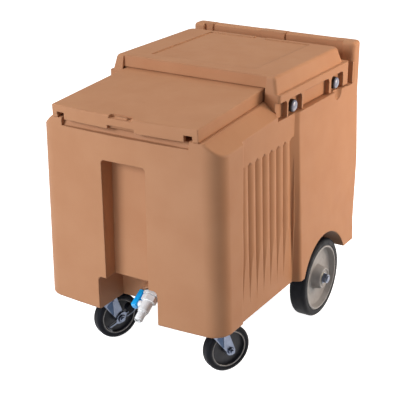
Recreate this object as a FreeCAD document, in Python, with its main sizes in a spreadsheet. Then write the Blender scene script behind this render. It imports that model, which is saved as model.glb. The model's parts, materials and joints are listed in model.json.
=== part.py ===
import FreeCAD, Part
import math
import os
import re

import Sketcher

# Mobile ice bin. Millimetres. +X is the right-hand side seen from the front, -Y is the front,
# +Z is up, and the origin lies on the ground at the middle of the bin's outline.

SIZES = {
    "whole bin": {
        "overall_length": 797,
        "overall_height": 743,
        "overrun": 30,
        "seat_gap": 0.3,
        "running_gap": 0.05,
    },
    "moulded tub": {
        "tub_bottom_z": 162,
        "tub_crease_z": 598,
        "tub_front_inset": 4.5,
        "tub_front_draft": 8,
        "tub_bow_radius": 2400,
        "tub_corner_radius": 49,
        "tub_half_width": 256,
        "tub_foot_half_width": 265,
        "tub_rear_radius": 14,
        "foot_round": 6,
        "shoulder_inset": 43,
        "shoulder_fall_deg": 40,
        "shoulder_round": 9,
        "rim_round": 7,
        "rim_top_z": 690,
        "panel_half_width": 250,
        "panel_bow": 7,
        "panel_bow_z": 340,
        "panel_bow_top_z": 560,
        "seam_y": -276,
        "seam_run": 10,
        "hip_front_y": 8,
        "hip_run": 14,
        "hip_step": 7.5,
        "hip_foot_step": 28,
        "hip_root": 12,
        "hip_round": 14,
        "rear_crease_z": 480,
        "rear_foot_z": 230,
        "rear_foot_inset": 36,
    },
    "flutes": {
        "flute_count": 7,
        "flute_pitch": 36.5,
        "flute_front_y": -262,
        "flute_depth": 7,
        "flute_radius": 28,
        "flute_top_z": 571,
        "flute_head": 10,
        "flute_fade_z": 185,
        "flute_lift": 0.5,
    },
    "ice cavity": {
        "cavity_half_width": 188,
        "cavity_front_y": -320,
        "cavity_rear_y": 290,
        "cavity_radius": 45,
        "cavity_step_z": 292,
        "cavity_foot_front_y": -250,
        "cavity_floor_z": 215,
    },
    "drain recess and channel": {
        "recess_half_width": 88,
        "recess_top_z": 255,
        "recess_rear_y": -279,
        "recess_radius": 12,
        "channel_half_width": 63,
        "channel_top_z": 570,
        "channel_rear_y": -347,
        "channel_radius": 9,
    },
    "front grip ledge": {
        "ledge_half_width": 180,
        "ledge_z": 635,
        "ledge_depth": 14,
        "ledge_rise_run": 8,
        "front_sill_z": 650,
    },
    "handle": {
        "post_front_y": 350,
        "post_inner_half_width": 222,
        "post_shelf_z": 629,
        "post_root_z": 610,
        "handle_round": 9,
        "handle_front_y": 361,
        "grip_inner_x": 38,
        "grip_outer_x": 198,
        "grip_front_set": 6,
        "grip_top_set": 5,
        "window_inset": 7,
        "window_bottom_z": 692,
        "window_top_z": 709,
        "window_radius": 6,
    },
    "wheel wells": {
        "well_inner_x": 216,
        "well_radius": 139,
        "well_centre_drop": 6,
    },
    "sliding lid": {
        "slide_slope_deg": 3.8,
        "lid_top_z": 686,
        "lid_half_width": 205,
        "lid_length": 360,
        "lid_thickness": 24,
        "lid_foot_depth": 32,
        "lid_foot_width": 14.5,
        "lid_edge_round": 3,
        "lid_flange_half_width": 169,
        "lid_flange_depth": 34,
        "lid_flange_thickness": 10,
        "lid_notch_rise": 18,
        "lid_notch_depth": 26,
        "lid_cutout_half_width": 38,
        "lid_cutout_rise": 25,
        "thumb_half_width": 32,
        "thumb_depth": 16,
        "thumb_drop": 7,
        "thumb_radius": 10,
        "bump_half_width": 17,
        "bump_length": 6,
        "bump_front": 4.5,
        "bump_height": 5,
        "lid_guide_gap": 1.5,
    },
    "rear cover": {
        "cover_front_y": -84,
        "cover_top_front_y": -77,
        "cover_top_rear_y": 300,
        "cover_top_half_width": 234,
        "cover_top_drop": 3,
        "cover_foot_z": 697,
        "cover_foot_half_width": 244,
        "cover_foot_rear_y": 317,
        "cover_corner_radius": 9,
        "cover_rear_radius": 20,
        "hood_round": 7,
        "cover_wall": 5,
        "cover_roof": 8,
        "skirt_half_width": 253,
        "skirt_thickness": 17,
        "skirt_rear_y": 331,
        "skirt_bottom_z": 634,
        "skirt_bottom_gap": 3,
        "skirt_radius": 8,
        "return_thickness": 6,
        "slot_half_width": 211,
        "slot_gap": 1,
        "fascia_inset": 10,
        "panel_inset_half_width": 156,
        "panel_inset_front_y": -30,
        "panel_inset_rear_y": 283,
        "panel_inset_depth": 3,
        "panel_inset_radius": 6,
        "panel_gap_half_width": 18,
        "skirt_web": 4,
        "pocket_top_z": 677,
        "pocket_radius": 12,
        "knob_pocket_half_width": 38,
        "middle_pocket_front_y": 48,
        "middle_pocket_rear_y": 204,
        "scoop_rear_y": -43,
    },
    "cover knobs": {
        "knob_z": 651.5,
        "knob_front_y": 2,
        "knob_rear_y": 255,
        "knob_radius": 16.5,
        "knob_thickness": 10,
        "knob_edge": 2.5,
        "knob_cap_radius": 13,
        "knob_cap_dome": 3,
        "knob_cap_seat": 3,
        "knob_stud_radius": 4,
        "knob_stud_length": 31,
        "insert_radius": 8,
        "insert_length": 24,
        "knob_scoop_half_width": 24,
        "knob_scoop_bottom_z": 606,
        "knob_scoop_depth": 13,
    },
    "drain and valve": {
        "drain_x": 5,
        "drain_y": -279,
        "drain_z": 188,
        "drain_tilt_deg": 34,
        "drain_boss_radius": 29,
        "drain_boss_root": 30,
        "drain_boss_face": 3,
        "drain_seat_radius": 25,
        "drain_seat_back": 34,
        "drain_tube_radius": 13,
        "drain_bore_radius": 8.5,
        "drain_flange_radius": 22,
        "drain_flange_thickness": 4,
        "gasket_thickness": 2,
        "locknut_across": 40,
        "locknut_thickness": 8,
        "drain_tube_end": 24,
        "valve_socket_back": 15,
        "valve_hex_across": 36,
        "valve_hex_length": 15,
        "valve_centre": 40,
        "valve_body_radius": 15,
        "valve_body_end": 58,
        "valve_ball_radius": 11.5,
        "valve_ball_bore": 7,
        "valve_seat_thickness": 5,
        "valve_seat_overlap": 3.5,
        "valve_boss_radius": 8.5,
        "valve_boss_length": 21,
        "valve_stem_radius": 4.5,
        "valve_stem_shoulder": 23,
        "valve_square_half": 2.8,
        "valve_key_half": 2,
        "valve_key_depth": 3,
        "tail_shoulder_radius": 13.5,
        "tail_shoulder_length": 4,
        "tail_radius": 11,
        "tail_groove_radius": 9.8,
        "tail_ridge_pitch": 6,
        "tail_ridge_land": 1.5,
        "tail_ridge_count": 3,
        "tail_neck": 4,
        "tail_end": 88,
        "tail_bore_radius": 8,
        "lever_reach": 33,
        "lever_heel": 10,
        "lever_half_width": 8.5,
        "lever_tip_half_width": 6.5,
        "lever_corner": 3,
        "lever_thickness": 4,
        "lever_lip": 4,
        "lever_lip_thickness": 3,
        "lever_screw_radius": 2,
        "lever_screw_head_radius": 4.2,
        "lever_screw_head_length": 2.2,
        "lever_screw_length": 9,
    },
    "drain shelf": {
        "shelf_z": 241,
        "shelf_thickness": 6,
        "shelf_clearance": 2,
        "shelf_hole_radius": 7,
        "shelf_hole_pitch_x": 80,
        "shelf_hole_pitch_y": 100,
        "shelf_foot_radius": 11,
        "shelf_grip_half_width": 40,
        "shelf_grip_half_depth": 14,
        "shelf_grip_y": 150,
        "shelf_foot_x": 120,
        "shelf_foot_front_y": -185,
        "shelf_foot_rear_y": 225,
    },
    "swivel casters": {
        "caster_x": 170,
        "caster_y": -276,
        "caster_trail": 49.5,
        "caster_wheel_radius": 63.5,
        "caster_yaw_right_deg": 28.5,
        "caster_yaw_left_deg": 24.8,
        "plate_half_width": 46,
        "plate_half_length": 52,
        "plate_thickness": 4,
        "plate_radius": 8,
        "plate_hole_x": 34,
        "plate_hole_y": 40,
        "plate_screw_radius": 4,
        "plate_screw_across": 13,
        "plate_screw_head": 5,
        "plate_screw_length": 26,
        "race_radius": 27,
        "race_depth": 7,
        "race_gap": 0.4,
        "fork_crown_radius": 30,
        "fork_crown_thickness": 4,
        "fork_inner_half_width": 22,
        "fork_leg_thickness": 3,
        "fork_leg_front_y": -22,
        "fork_leg_rear_y": 34,
        "fork_toe_radius": 13,
        "fork_shoulder": 8,
        "kingpin_radius": 6,
        "kingpin_head_radius": 11,
        "kingpin_head": 5,
        "caster_tyre_inner_radius": 52,
        "caster_tyre_width": 32,
        "caster_tyre_round": 9,
        "caster_rim_width": 28,
        "caster_rim_thickness": 4,
        "caster_web_half": 5,
        "caster_hub_radius": 16,
        "caster_hub_width": 43.4,
        "bush_radius": 8,
        "axle_bolt_radius": 5,
        "axle_bolt_across": 17,
        "axle_bolt_head": 6,
        "axle_bolt_end": 5,
    },
    "caster brake": {
        "brake_plate_thickness": 3,
        "brake_hub_radius": 14,
        "brake_arm_half_width": 6,
        "brake_pedal_reach": 45,
        "brake_pedal_drop_deg": 26,
        "brake_pad_reach": 37,
        "brake_pad_rise_deg": 56,
        "brake_tab_length": 17,
        "brake_tab_thickness": 3,
        "brake_pad_radius": 11,
        "brake_pad_length": 17,
    },
    "rear wheels": {
        "axle_y": 172,
        "wheel_radius": 112,
        "wheel_inner_x": 223,
        "wheel_width": 48,
        "wheel_tyre_inner_radius": 93,
        "wheel_tyre_round": 10,
        "wheel_rim_width": 44,
        "wheel_rim_thickness": 6,
        "wheel_web_half": 6,
        "wheel_hub_radius": 24,
        "wheel_hub_nose_radius": 19,
        "wheel_hub_outer": 28,
        "wheel_hub_inner": 26,
        "wheel_bush_radius": 12,
        "wheel_bush_length": 20,
        "wheel_bush_flange_radius": 16,
        "wheel_bush_flange": 2,
        "axle_radius": 8,
        "axle_end": 2.7,
        "axle_washer_radius": 15,
        "axle_washer": 2,
        "axle_nut_across": 24,
        "axle_nut": 10,
        "spacer_radius": 12,
        "bracket_x": 204,
        "bracket_thickness": 5,
        "bracket_half_length": 44,
        "bracket_toe_radius": 18,
        "bracket_foot_width": 34,
        "bracket_screw_inset": 15,
        "bracket_screw_y": 31,
    },
}

# Sizes worked out from the ones above.
DERIVED = {
    "lid_front_y": "-overall_length / 2",
    "handle_rear_y": "overall_length / 2",
    "tub_front_y": "lid_front_y + tub_front_inset",
    "tub_foot_front_y": "tub_front_y + tub_front_draft",
    "hip_half_width": "panel_half_width + hip_step",
    "hip_foot_half_width": "panel_half_width + hip_foot_step",
    "reach_x": "hip_foot_half_width + overrun",
    "rim_drop": "(lid_foot_depth + seat_gap) / cos(slide_slope_deg)",
    "skirt_inner_x": "skirt_half_width - skirt_thickness",
    "skirt_inner_y": "skirt_rear_y - skirt_thickness",
    "rabbet_x": "skirt_inner_x - seat_gap",
    "rabbet_z": "skirt_bottom_z - skirt_bottom_gap",
    "cover_top_z": "overall_height - cover_top_drop",
    "rim_step_y": "cover_front_y + return_thickness + seat_gap",
    "crown_y": "rim_step_y + rim_drop * tan(slide_slope_deg)",
    "rim_rear_y": "skirt_inner_y - seat_gap",
    "seam_end_y": "seam_y + seam_run",
    "hip_end_y": "hip_front_y + hip_run",
    "rail_half_width": "lid_half_width + lid_guide_gap",
    "axle_z": "wheel_radius",
    "web_outer_x": "skirt_inner_x + skirt_web",
    "drain_turn_deg": "90 + drain_tilt_deg",
    "plate_bottom_z": "tub_bottom_z - plate_thickness",
    "race_bottom_z": "plate_bottom_z - race_depth",
    "crown_top_z": "race_bottom_z - race_gap",
    "crown_bottom_z": "crown_top_z - fork_crown_thickness",
    "leg_outer_x": "fork_inner_half_width + fork_leg_thickness",
    "wheel_centre_x": "wheel_inner_x + wheel_width / 2",
    "hub_outer_x": "wheel_centre_x + wheel_hub_outer",
    "hub_inner_x": "wheel_centre_x - wheel_hub_inner",
    "axle_nut_x": "hub_outer_x + wheel_bush_flange + seat_gap + axle_washer",
    "valve_chamber_radius": "valve_ball_radius + seat_gap",
    "seat_far": "valve_ball_radius + valve_seat_thickness - valve_seat_overlap",
    "seat_near": "valve_ball_radius - valve_seat_overlap",
    "lever_face_x": "-valve_stem_shoulder - seat_gap - lever_thickness",
}

ALIASES = {name for cells in SIZES.values() for name in cells}
WORD = re.compile(r"[a-z_][a-z_0-9]*")

doc = FreeCAD.newDocument("mobile_ice_bin")
sheet = doc.addObject("Spreadsheet::Sheet", "sizes")
pieces = []


def fill_sheet():
    row = 0
    for group, cells in SIZES.items():
        row += 1
        sheet.set(f"A{row}", group)
        for name, size in cells.items():
            row += 1
            sheet.set(f"A{row}", name)
            sheet.set(f"B{row}", str(size))
            sheet.setAlias(f"B{row}", name)
    sheet.recompute()


def tied(text):
    """The formula with each name swapped for its cell, or for its own formula."""

    def cell(word):
        if word[0] in ALIASES:
            return f"sizes.{word[0]}"
        if word[0] in DERIVED:
            return f"({tied(DERIVED[word[0]])})"
        return word[0]

    return WORD.sub(cell, text)


def number(text):
    return float(sheet.evalExpression(tied(text)))


def bind(thing, **formulas):
    for name, text in formulas.items():
        thing.setExpression(name, tied(text))


def place(piece, x="0", y="0", z="0", axis=None, angle=None):
    """Puts a piece at a point, turned about an axis by an angle."""
    if axis:
        turn = FreeCAD.Rotation(FreeCAD.Vector(*axis), number(angle))
        piece.Placement = FreeCAD.Placement(FreeCAD.Vector(), turn)
        piece.setExpression("Placement.Rotation.Angle", tied(angle))
    for letter, text in zip("xyz", (x, y, z)):
        if text != "0":
            piece.setExpression(f"Placement.Base.{letter}", tied(text))
    return piece


def keep(piece, label):
    """Names a finished piece, which is then written as a node of its own."""
    piece.Label = label
    pieces.append(piece)
    return piece


def new_body(name):
    return doc.addObject("PartDesign::Body", name)


def origin_plane(body, role):
    return next(f for f in body.Origin.OriginFeatures if f.Role == role)


# Outlines. A point is (across, up), or (across, up, radius, bend) where an arc of that radius
# runs into it from the point before. Bend 1 curves to the left and -1 to the right.


def other_side(points):
    return [(f"-({p[0]})", p[1], *((p[2], -p[3]) if len(p) > 2 else ())) for p in points]


def box_outline(x_low, x_high, y_low, y_high):
    return [(x_low, y_low), (x_high, y_low), (x_high, y_high), (x_low, y_high)]


def round_outline(x_low, x_high, y_low, y_high, radius):
    left, right = f"{x_low} + {radius}", f"{x_high} - {radius}"
    low, high = f"{y_low} + {radius}", f"{y_high} - {radius}"
    return [
        (left, y_low, radius, 1),
        (right, y_low),
        (x_high, low, radius, 1),
        (x_high, high),
        (right, y_high, radius, 1),
        (left, y_high),
        (x_low, high, radius, 1),
        (x_low, low),
    ]


def arch_outline(x_low, x_high, y_low, y_high, radius):
    """A box with its two upper corners rounded."""
    return [
        (x_low, y_low),
        (x_high, y_low),
        (x_high, f"{y_high} - {radius}"),
        (f"{x_high} - {radius}", y_high, radius, 1),
        (f"{x_low} + {radius}", y_high),
        (x_low, f"{y_high} - {radius}", radius, 1),
    ]


def hexagon(across):
    """A hexagon with a flat on either side."""
    corner, flat = f"({across}) / 2 / cos(30)", f"({across}) / 2"
    half = f"({across}) / 4 / cos(30)"
    return [
        ("0", f"-({corner})"),
        (flat, f"-({half})"),
        (flat, half),
        ("0", corner),
        (f"-({flat})", half),
        (f"-({flat})", f"-({half})"),
    ]


def attach(body, sketch, plane, at, turn, shift):
    """Lays a sketch parallel to an origin plane, through the coordinate `at`."""
    sketch.AttachmentSupport = [(origin_plane(body, plane), "")]
    sketch.MapMode = "FlatFace"
    if turn:
        spin = FreeCAD.Rotation(FreeCAD.Vector(1, 0, 0), number(turn))
        sketch.AttachmentOffset = FreeCAD.Placement(FreeCAD.Vector(), spin)
        sketch.setExpression("AttachmentOffset.Rotation.Angle", tied(turn))
    if shift != "0":
        sketch.setExpression("AttachmentOffset.Base.y", tied(shift))
    if at != "0":
        height = f"-({at})" if plane == "XZ_Plane" else at
        sketch.setExpression("AttachmentOffset.Base.z", tied(height))


def hold_point(sketch, edge, end, across, up):
    """Ties one point of a sketch to its two named places."""
    for kind, axis, text in (("DistanceX", -2, across), ("DistanceY", -1, up)):
        if text == "0":
            sketch.addConstraint(Sketcher.Constraint("PointOnObject", edge, end, axis))
        else:
            rule = Sketcher.Constraint(kind, -1, 1, edge, end, number(text))
            sketch.setExpression(f"Constraints[{sketch.addConstraint(rule)}]", tied(text))


def arc_between(start, end, radius, bend):
    run = end.sub(start)
    side = FreeCAD.Vector(-run.y, run.x, 0).normalize() * bend
    rise = math.sqrt(max(radius**2 - (run.Length / 2) ** 2, 0))
    centre = start + run * 0.5 + side * rise
    first, last = (start, end) if bend > 0 else (end, start)
    angles = [math.atan2(p.y - centre.y, p.x - centre.x) for p in (first, last)]
    if angles[1] < angles[0]:
        angles[1] += 2 * math.pi
    circle = Part.Circle(centre, FreeCAD.Vector(0, 0, 1), radius)
    return Part.ArcOfCircle(circle, *angles)


def draw_loop(sketch, points):
    spots = [FreeCAD.Vector(number(p[0]), number(p[1]), 0) for p in points]
    first = sketch.GeometryCount
    count = len(points)
    ends = []
    for i, spot in enumerate(spots):
        following = points[(i + 1) % count]
        after = spots[(i + 1) % count]
        if len(following) > 2:
            radius = number(following[2])
            sketch.addGeometry(arc_between(spot, after, radius, following[3]), False)
            ends.append((1, 2) if following[3] > 0 else (2, 1))
        else:
            sketch.addGeometry(Part.LineSegment(spot, after), False)
            ends.append((1, 2))
    for i in range(count):
        after = (i + 1) % count
        joint = Sketcher.Constraint("Coincident", first + i, ends[i][1], first + after, ends[after][0])
        sketch.addConstraint(joint)
    for i, point in enumerate(points):
        hold_point(sketch, first + i, ends[i][0], point[0], point[1])
        if len(point) > 2:
            edge = first + (i - 1) % count
            rule = Sketcher.Constraint("Radius", edge, number(point[2]))
            sketch.setExpression(f"Constraints[{sketch.addConstraint(rule)}]", tied(point[2]))


def draw_circle(sketch, across, up, radius):
    centre = FreeCAD.Vector(number(across), number(up), 0)
    circle = Part.Circle(centre, FreeCAD.Vector(0, 0, 1), number(radius))
    edge = sketch.addGeometry(circle, False)
    hold_point(sketch, edge, 3, across, up)
    rule = Sketcher.Constraint("Radius", edge, number(radius))
    sketch.setExpression(f"Constraints[{sketch.addConstraint(rule)}]", tied(radius))


def new_sketch(body, name, plane, loops=(), circles=(), at="0", turn=None, shift="0"):
    sketch = body.newObject("Sketcher::SketchObject", f"{name}_sketch")
    attach(body, sketch, plane, at, turn, shift)
    for points in loops:
        draw_loop(sketch, points)
    for circle in circles:
        draw_circle(sketch, *circle)
    return sketch


def extrude(body, kind, name, plane, low, high, loops=(), circles=(), turn=None, shift="0"):
    """A pad or pocket from one coordinate to a higher one, square to the plane."""
    sketch = new_sketch(body, name, plane, loops, circles, low, turn, shift)
    feature = body.newObject(f"PartDesign::{kind}", name)
    feature.Profile = sketch
    feature.Reversed = (kind == "Pad") == (plane == "XZ_Plane")
    bind(feature, Length=f"({high}) - ({low})")
    return feature


def pad(body, name, plane, low, high, loops=(), circles=(), **more):
    return extrude(body, "Pad", name, plane, low, high, loops, circles, **more)


def pocket(body, name, plane, low, high, loops=(), circles=(), **more):
    return extrude(body, "Pocket", name, plane, low, high, loops, circles, **more)


def tilted_pocket(body, name, turn, shift, at, length, circles=(), loops=(), plane="XY_Plane"):
    """A pocket along the normal of a sketch that is turned about X."""
    sketch = new_sketch(body, name, plane, loops, circles, at, turn, shift)
    feature = body.newObject("PartDesign::Pocket", name)
    feature.Profile = sketch
    feature.Reversed = True
    bind(feature, Length=length)
    return feature


def loft(body, kind, name, sections):
    """A ruled loft through outlines, each given with its height."""
    sketches = [
        new_sketch(body, f"{name}_{i}", "XY_Plane", [points], at=height)
        for i, (points, height) in enumerate(sections)
    ]
    feature = body.newObject(f"PartDesign::{kind}", name)
    feature.Profile = sketches[0]
    feature.Sections = sketches[1:]
    feature.Ruled = True
    return feature


def mirror(body, features):
    """Repeats features on the left-hand side."""
    twin = body.newObject("PartDesign::Mirrored", "left_side")
    twin.Originals = features
    twin.MirrorPlane = (origin_plane(body, "YZ_Plane"), [""])
    body.Tip = twin
    return twin


def round_edges(body, name, radius, wanted):
    """A fillet on the edges of the body that the test picks out."""
    doc.recompute()
    base = body.Tip
    picked = [
        f"Edge{i}" for i, edge in enumerate(base.Shape.Edges, 1) if wanted(edge)
    ]
    feature = body.newObject("PartDesign::Fillet", name)
    feature.Base = (base, picked)
    bind(feature, Radius=radius)
    return feature


def turned(name, points):
    """A piece turned about its own Z axis from an outline of (radius, height)."""
    body = new_body(name)
    sketch = new_sketch(body, name, "XZ_Plane", [points])
    feature = body.newObject("PartDesign::Revolution", f"{name}_turn")
    feature.Profile = sketch
    feature.ReferenceAxis = (sketch, ["V_Axis"])
    feature.Angle = 360
    return body


def ring(name, inner, outer, low, high):
    return turned(name, box_outline(inner, outer, low, high))


def group(label, members):
    """Identical small pieces that share one node."""
    compound = doc.addObject("Part::Compound", label)
    compound.Links = members
    return keep(compound, label)


def rim_z(y):
    """Height of the sloping rim that the lid's feet slide on."""
    return f"(lid_top_z - rim_drop + (({y}) - lid_front_y) * tan(slide_slope_deg))"


# Moulded tub


def tub_outline(half_width, front_y):
    bow, corner = "tub_bow_radius", "tub_corner_radius"
    side_y = f"{front_y} + {bow} - sqrt(({bow} - {corner})^2 - ({half_width} - {corner})^2)"
    bow_x = f"({half_width} - {corner}) * {bow} / ({bow} - {corner})"
    bow_y = f"{front_y} + {bow} - sqrt({bow}^2 - ({bow_x})^2)"
    rear, back = "tub_rear_radius", "handle_rear_y"
    return [
        (f"-({bow_x})", bow_y, corner, 1),
        (bow_x, bow_y, bow, 1),
        (half_width, side_y, corner, 1),
        (half_width, f"{back} - {rear}"),
        (f"{half_width} - {rear}", back, rear, 1),
        (f"-({half_width} - {rear})", back),
        (f"-({half_width})", f"{back} - {rear}", rear, 1),
        (f"-({half_width})", side_y),
    ]


def add_tub_form(tub):
    foot = tub_outline("tub_foot_half_width", "tub_foot_front_y")
    crease = tub_outline("tub_half_width", "tub_front_y")
    sections = [(foot, "tub_bottom_z"), (crease, "tub_crease_z"), (crease, "rim_top_z")]
    loft(tub, "AdditiveLoft", "tub_form", sections)


def add_crown(tub):
    """The rim in front of the cover: it slopes with the lid and falls away to both sides."""
    inner, outer = "(tub_half_width - shoulder_inset)", "(tub_half_width + overrun)"
    tangent = "shoulder_round * tan(shoulder_fall_deg / 2)"
    bend_x = f"({inner} + {tangent} * cos(shoulder_fall_deg))"
    bend_z = f"-{tangent} * sin(shoulder_fall_deg)"
    fall = "-(shoulder_inset + overrun) * tan(shoulder_fall_deg)"
    top = "2 * overrun"
    crown = [
        (outer, fall),
        (outer, top),
        (f"-{outer}", top),
        (f"-{outer}", fall),
        (f"-{bend_x}", bend_z),
        (f"-({inner} - {tangent})", "0", "shoulder_round", -1),
        (f"{inner} - {tangent}", "0"),
        (bend_x, bend_z, "shoulder_round", -1),
    ]
    sketch = new_sketch(
        tub, "crown", "XZ_Plane", [crown], at="crown_y", turn="slide_slope_deg", shift=rim_z("crown_y")
    )
    cut = tub.newObject("PartDesign::Pocket", "crown")
    cut.Profile = sketch
    cut.Reversed = True
    bind(cut, Length="overall_length / 2")
    doc.recompute()
    crease, step = number("tub_crease_z"), number("crown_y")
    front, side = number("tub_front_y + 2 * tub_corner_radius"), number("tub_half_width")

    def on_rim(edge):
        ends = [v.Point for v in edge.Vertexes]
        if min(p.z for p in ends) < crease + 1 or max(p.z for p in ends) > number("rim_top_z") - 1:
            return False
        if all(abs(abs(p.x) - side) < 0.01 for p in ends):
            return max(p.y for p in ends) < step + 1 + abs(ends[0].z - ends[-1].z) / 2
        return all(p.y < front for p in ends)

    round_edges(tub, "rim_rounding", "rim_round", on_rim)
    bottom = number("tub_bottom_z")
    round_edges(
        tub, "foot_rounding", "foot_round", lambda edge: all(abs(v.Z - bottom) < 0.01 for v in edge.Vertexes)
    )


def add_side_panels(tub):
    """The recessed side panels, bowed outwards at the foot."""
    outer = "tub_foot_half_width + overrun"
    slant = "panel_half_width + tub_foot_half_width - tub_half_width + seam_run"
    panel = [
        ("panel_half_width", "seam_end_y"),
        (slant, "seam_y"),
        (outer, "seam_y"),
        (outer, "hip_end_y"),
        ("panel_half_width", "hip_end_y"),
    ]
    low, high = "tub_bottom_z - overrun", "rim_top_z + overrun"
    pocket(tub, "side_panels", "XY_Plane", low, high, [panel, other_side(panel)])
    root = "panel_half_width - hip_root"
    sections = [
        (box_outline(root, f"panel_half_width + {bow}", "seam_y", "hip_end_y"), height)
        for bow, height in (
            ("panel_bow", "tub_bottom_z"),
            ("panel_bow", "panel_bow_z"),
            ("0", "panel_bow_top_z"),
        )
    ]
    mirror(tub, [loft(tub, "AdditiveLoft", "panel_bow", sections)])


def flute_outline(root):
    """A run of convex ribs with a groove on each side, up to the hip."""
    count = int(number("flute_count"))
    points = [("reach_x", "flute_front_y"), (root, "flute_front_y")]
    for i in range(1, count + 1):
        points.append((root, f"flute_front_y + {i} * flute_pitch", "flute_radius", 1))
    return points + [(root, "hip_front_y"), ("reach_x", "hip_front_y")]


def cut_flutes(tub):
    """Upright ribs that follow the bowed panel and fade out above its foot."""
    sections = [
        ("panel_half_width + flute_lift", "flute_top_z"),
        ("panel_half_width - flute_depth", "flute_top_z - flute_head"),
        ("panel_half_width + panel_bow - flute_depth", "panel_bow_z"),
        ("panel_half_width + panel_bow + flute_lift", "flute_fade_z"),
    ]
    outlines = [(flute_outline(root), height) for root, height in sections]
    mirror(tub, [loft(tub, "SubtractiveLoft", "flutes", outlines)])


def hip_outline(half_width):
    """The flare over a wheel well: it leaves the side panel on a slant and rounds off."""
    root, rear, back = "panel_half_width - hip_root", "tub_rear_radius", "handle_rear_y"
    rise = f"({half_width} - panel_half_width)"
    slant = f"atan({rise} / hip_run)"
    tangent = f"hip_round * tan({slant} / 2)"
    return [
        (root, f"hip_front_y - hip_root * hip_run / {rise}"),
        (f"{half_width} - {tangent} * sin({slant})", f"hip_end_y - {tangent} * cos({slant})"),
        (half_width, f"hip_end_y + {tangent}", "hip_round", 1),
        (half_width, f"{back} - {rear}"),
        (f"{half_width} - {rear}", back, rear, 1),
        (root, back),
    ]


def add_hips(tub):
    sections = [
        (hip_outline("hip_foot_half_width"), "tub_bottom_z"),
        (hip_outline("hip_half_width"), "tub_crease_z"),
        (hip_outline("hip_half_width"), "rabbet_z"),
    ]
    hip = loft(tub, "AdditiveLoft", "hip", sections)
    mirror(tub, [hip])


def add_handle(tub):
    """Rear upright with two grips that the fingers reach round."""
    upright = round_outline(
        "-hip_half_width", "hip_half_width", "post_front_y", "handle_rear_y", "tub_rear_radius"
    )
    pad(tub, "upright", "XY_Plane", "post_root_z", "overall_height", [upright])
    top = number("overall_height")
    round_edges(
        tub,
        "handle_rounding",
        "handle_round",
        lambda edge: all(abs(v.Z - top) < 0.01 for v in edge.Vertexes),
    )
    behind_cover = box_outline("rim_rear_y", "post_front_y", "post_shelf_z", "rim_top_z + overrun")
    pocket(tub, "cover_groove", "YZ_Plane", "-reach_x", "reach_x", [behind_cover])
    inner = box_outline(
        "-post_inner_half_width", "post_inner_half_width", "rim_rear_y", "handle_front_y"
    )
    pocket(tub, "between_posts", "XY_Plane", "post_shelf_z", "overall_height + overrun", [inner])
    grip = box_outline("grip_inner_x", "grip_outer_x", "post_front_y", "handle_front_y + grip_front_set")
    top_z = "overall_height + overrun"
    pocket(tub, "grip_fronts", "XY_Plane", "window_bottom_z", top_z, [grip, other_side(grip)])
    relief = box_outline("grip_inner_x", "grip_outer_x", "overall_height - grip_top_set", top_z)
    rear = "handle_rear_y + overrun"
    pocket(tub, "grip_tops", "XZ_Plane", "post_front_y", rear, [relief, other_side(relief)])
    window = round_outline(
        "grip_inner_x + window_inset",
        "grip_outer_x - window_inset",
        "window_bottom_z",
        "window_top_z",
        "window_radius",
    )
    pocket(tub, "hand_windows", "XZ_Plane", "post_front_y", rear, [window, other_side(window)])


def cut_cavity(tub):
    """The ice cavity, whose foot is set back behind the drain recess."""
    top = "rim_top_z + overrun"
    side, radius = "cavity_half_width", "cavity_radius"
    upper = round_outline(f"-{side}", side, "cavity_front_y", "cavity_rear_y", radius)
    pocket(tub, "cavity", "XY_Plane", "cavity_step_z", top, [upper])
    lower = round_outline(f"-{side}", side, "cavity_foot_front_y", "cavity_rear_y", radius)
    pocket(tub, "cavity_foot", "XY_Plane", "cavity_floor_z", "cavity_step_z + overrun", [lower])


def cut_rim(tub):
    """Rails for the lid, the rabbet for the cover's skirt, and the front grip ledge."""
    start, end = "rim_step_y - overrun", "cavity_rear_y"
    rails = [
        (start, rim_z(start)),
        (end, rim_z(end)),
        (end, "rim_top_z + 2 * overrun"),
        (start, "rim_top_z + 2 * overrun"),
    ]
    pocket(tub, "lid_rails", "YZ_Plane", "-rail_half_width", "rail_half_width", [rails])
    front, rear = "cover_front_y - seat_gap", "post_front_y"
    rabbet = box_outline("rabbet_x", "reach_x", front, rear)
    top = "rim_top_z + overrun"
    pocket(tub, "cover_rabbet", "XY_Plane", "rabbet_z", top, [rabbet, other_side(rabbet)])
    back = "tub_front_y + ledge_depth"
    ledge = [
        ("tub_front_y - overrun", "ledge_z"),
        (back, "ledge_z"),
        (f"{back} + ledge_rise_run", "front_sill_z"),
        ("cavity_front_y + overrun", "front_sill_z"),
        ("cavity_front_y + overrun", top),
        ("tub_front_y - overrun", top),
    ]
    pocket(tub, "grip_ledge", "YZ_Plane", "-ledge_half_width", "ledge_half_width", [ledge])


def cut_front_recess(tub):
    """The drain recess at the foot and the upright channel above it."""
    front = "tub_front_y - overrun"
    recess = arch_outline(
        "-recess_half_width", "recess_half_width", "tub_bottom_z - overrun", "recess_top_z", "recess_radius"
    )
    pocket(tub, "drain_recess", "XZ_Plane", front, "recess_rear_y", [recess])
    channel = arch_outline(
        "-channel_half_width",
        "channel_half_width",
        "recess_top_z - recess_radius",
        "channel_top_z",
        "channel_radius",
    )
    pocket(tub, "channel", "XZ_Plane", front, "channel_rear_y", [channel])


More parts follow.
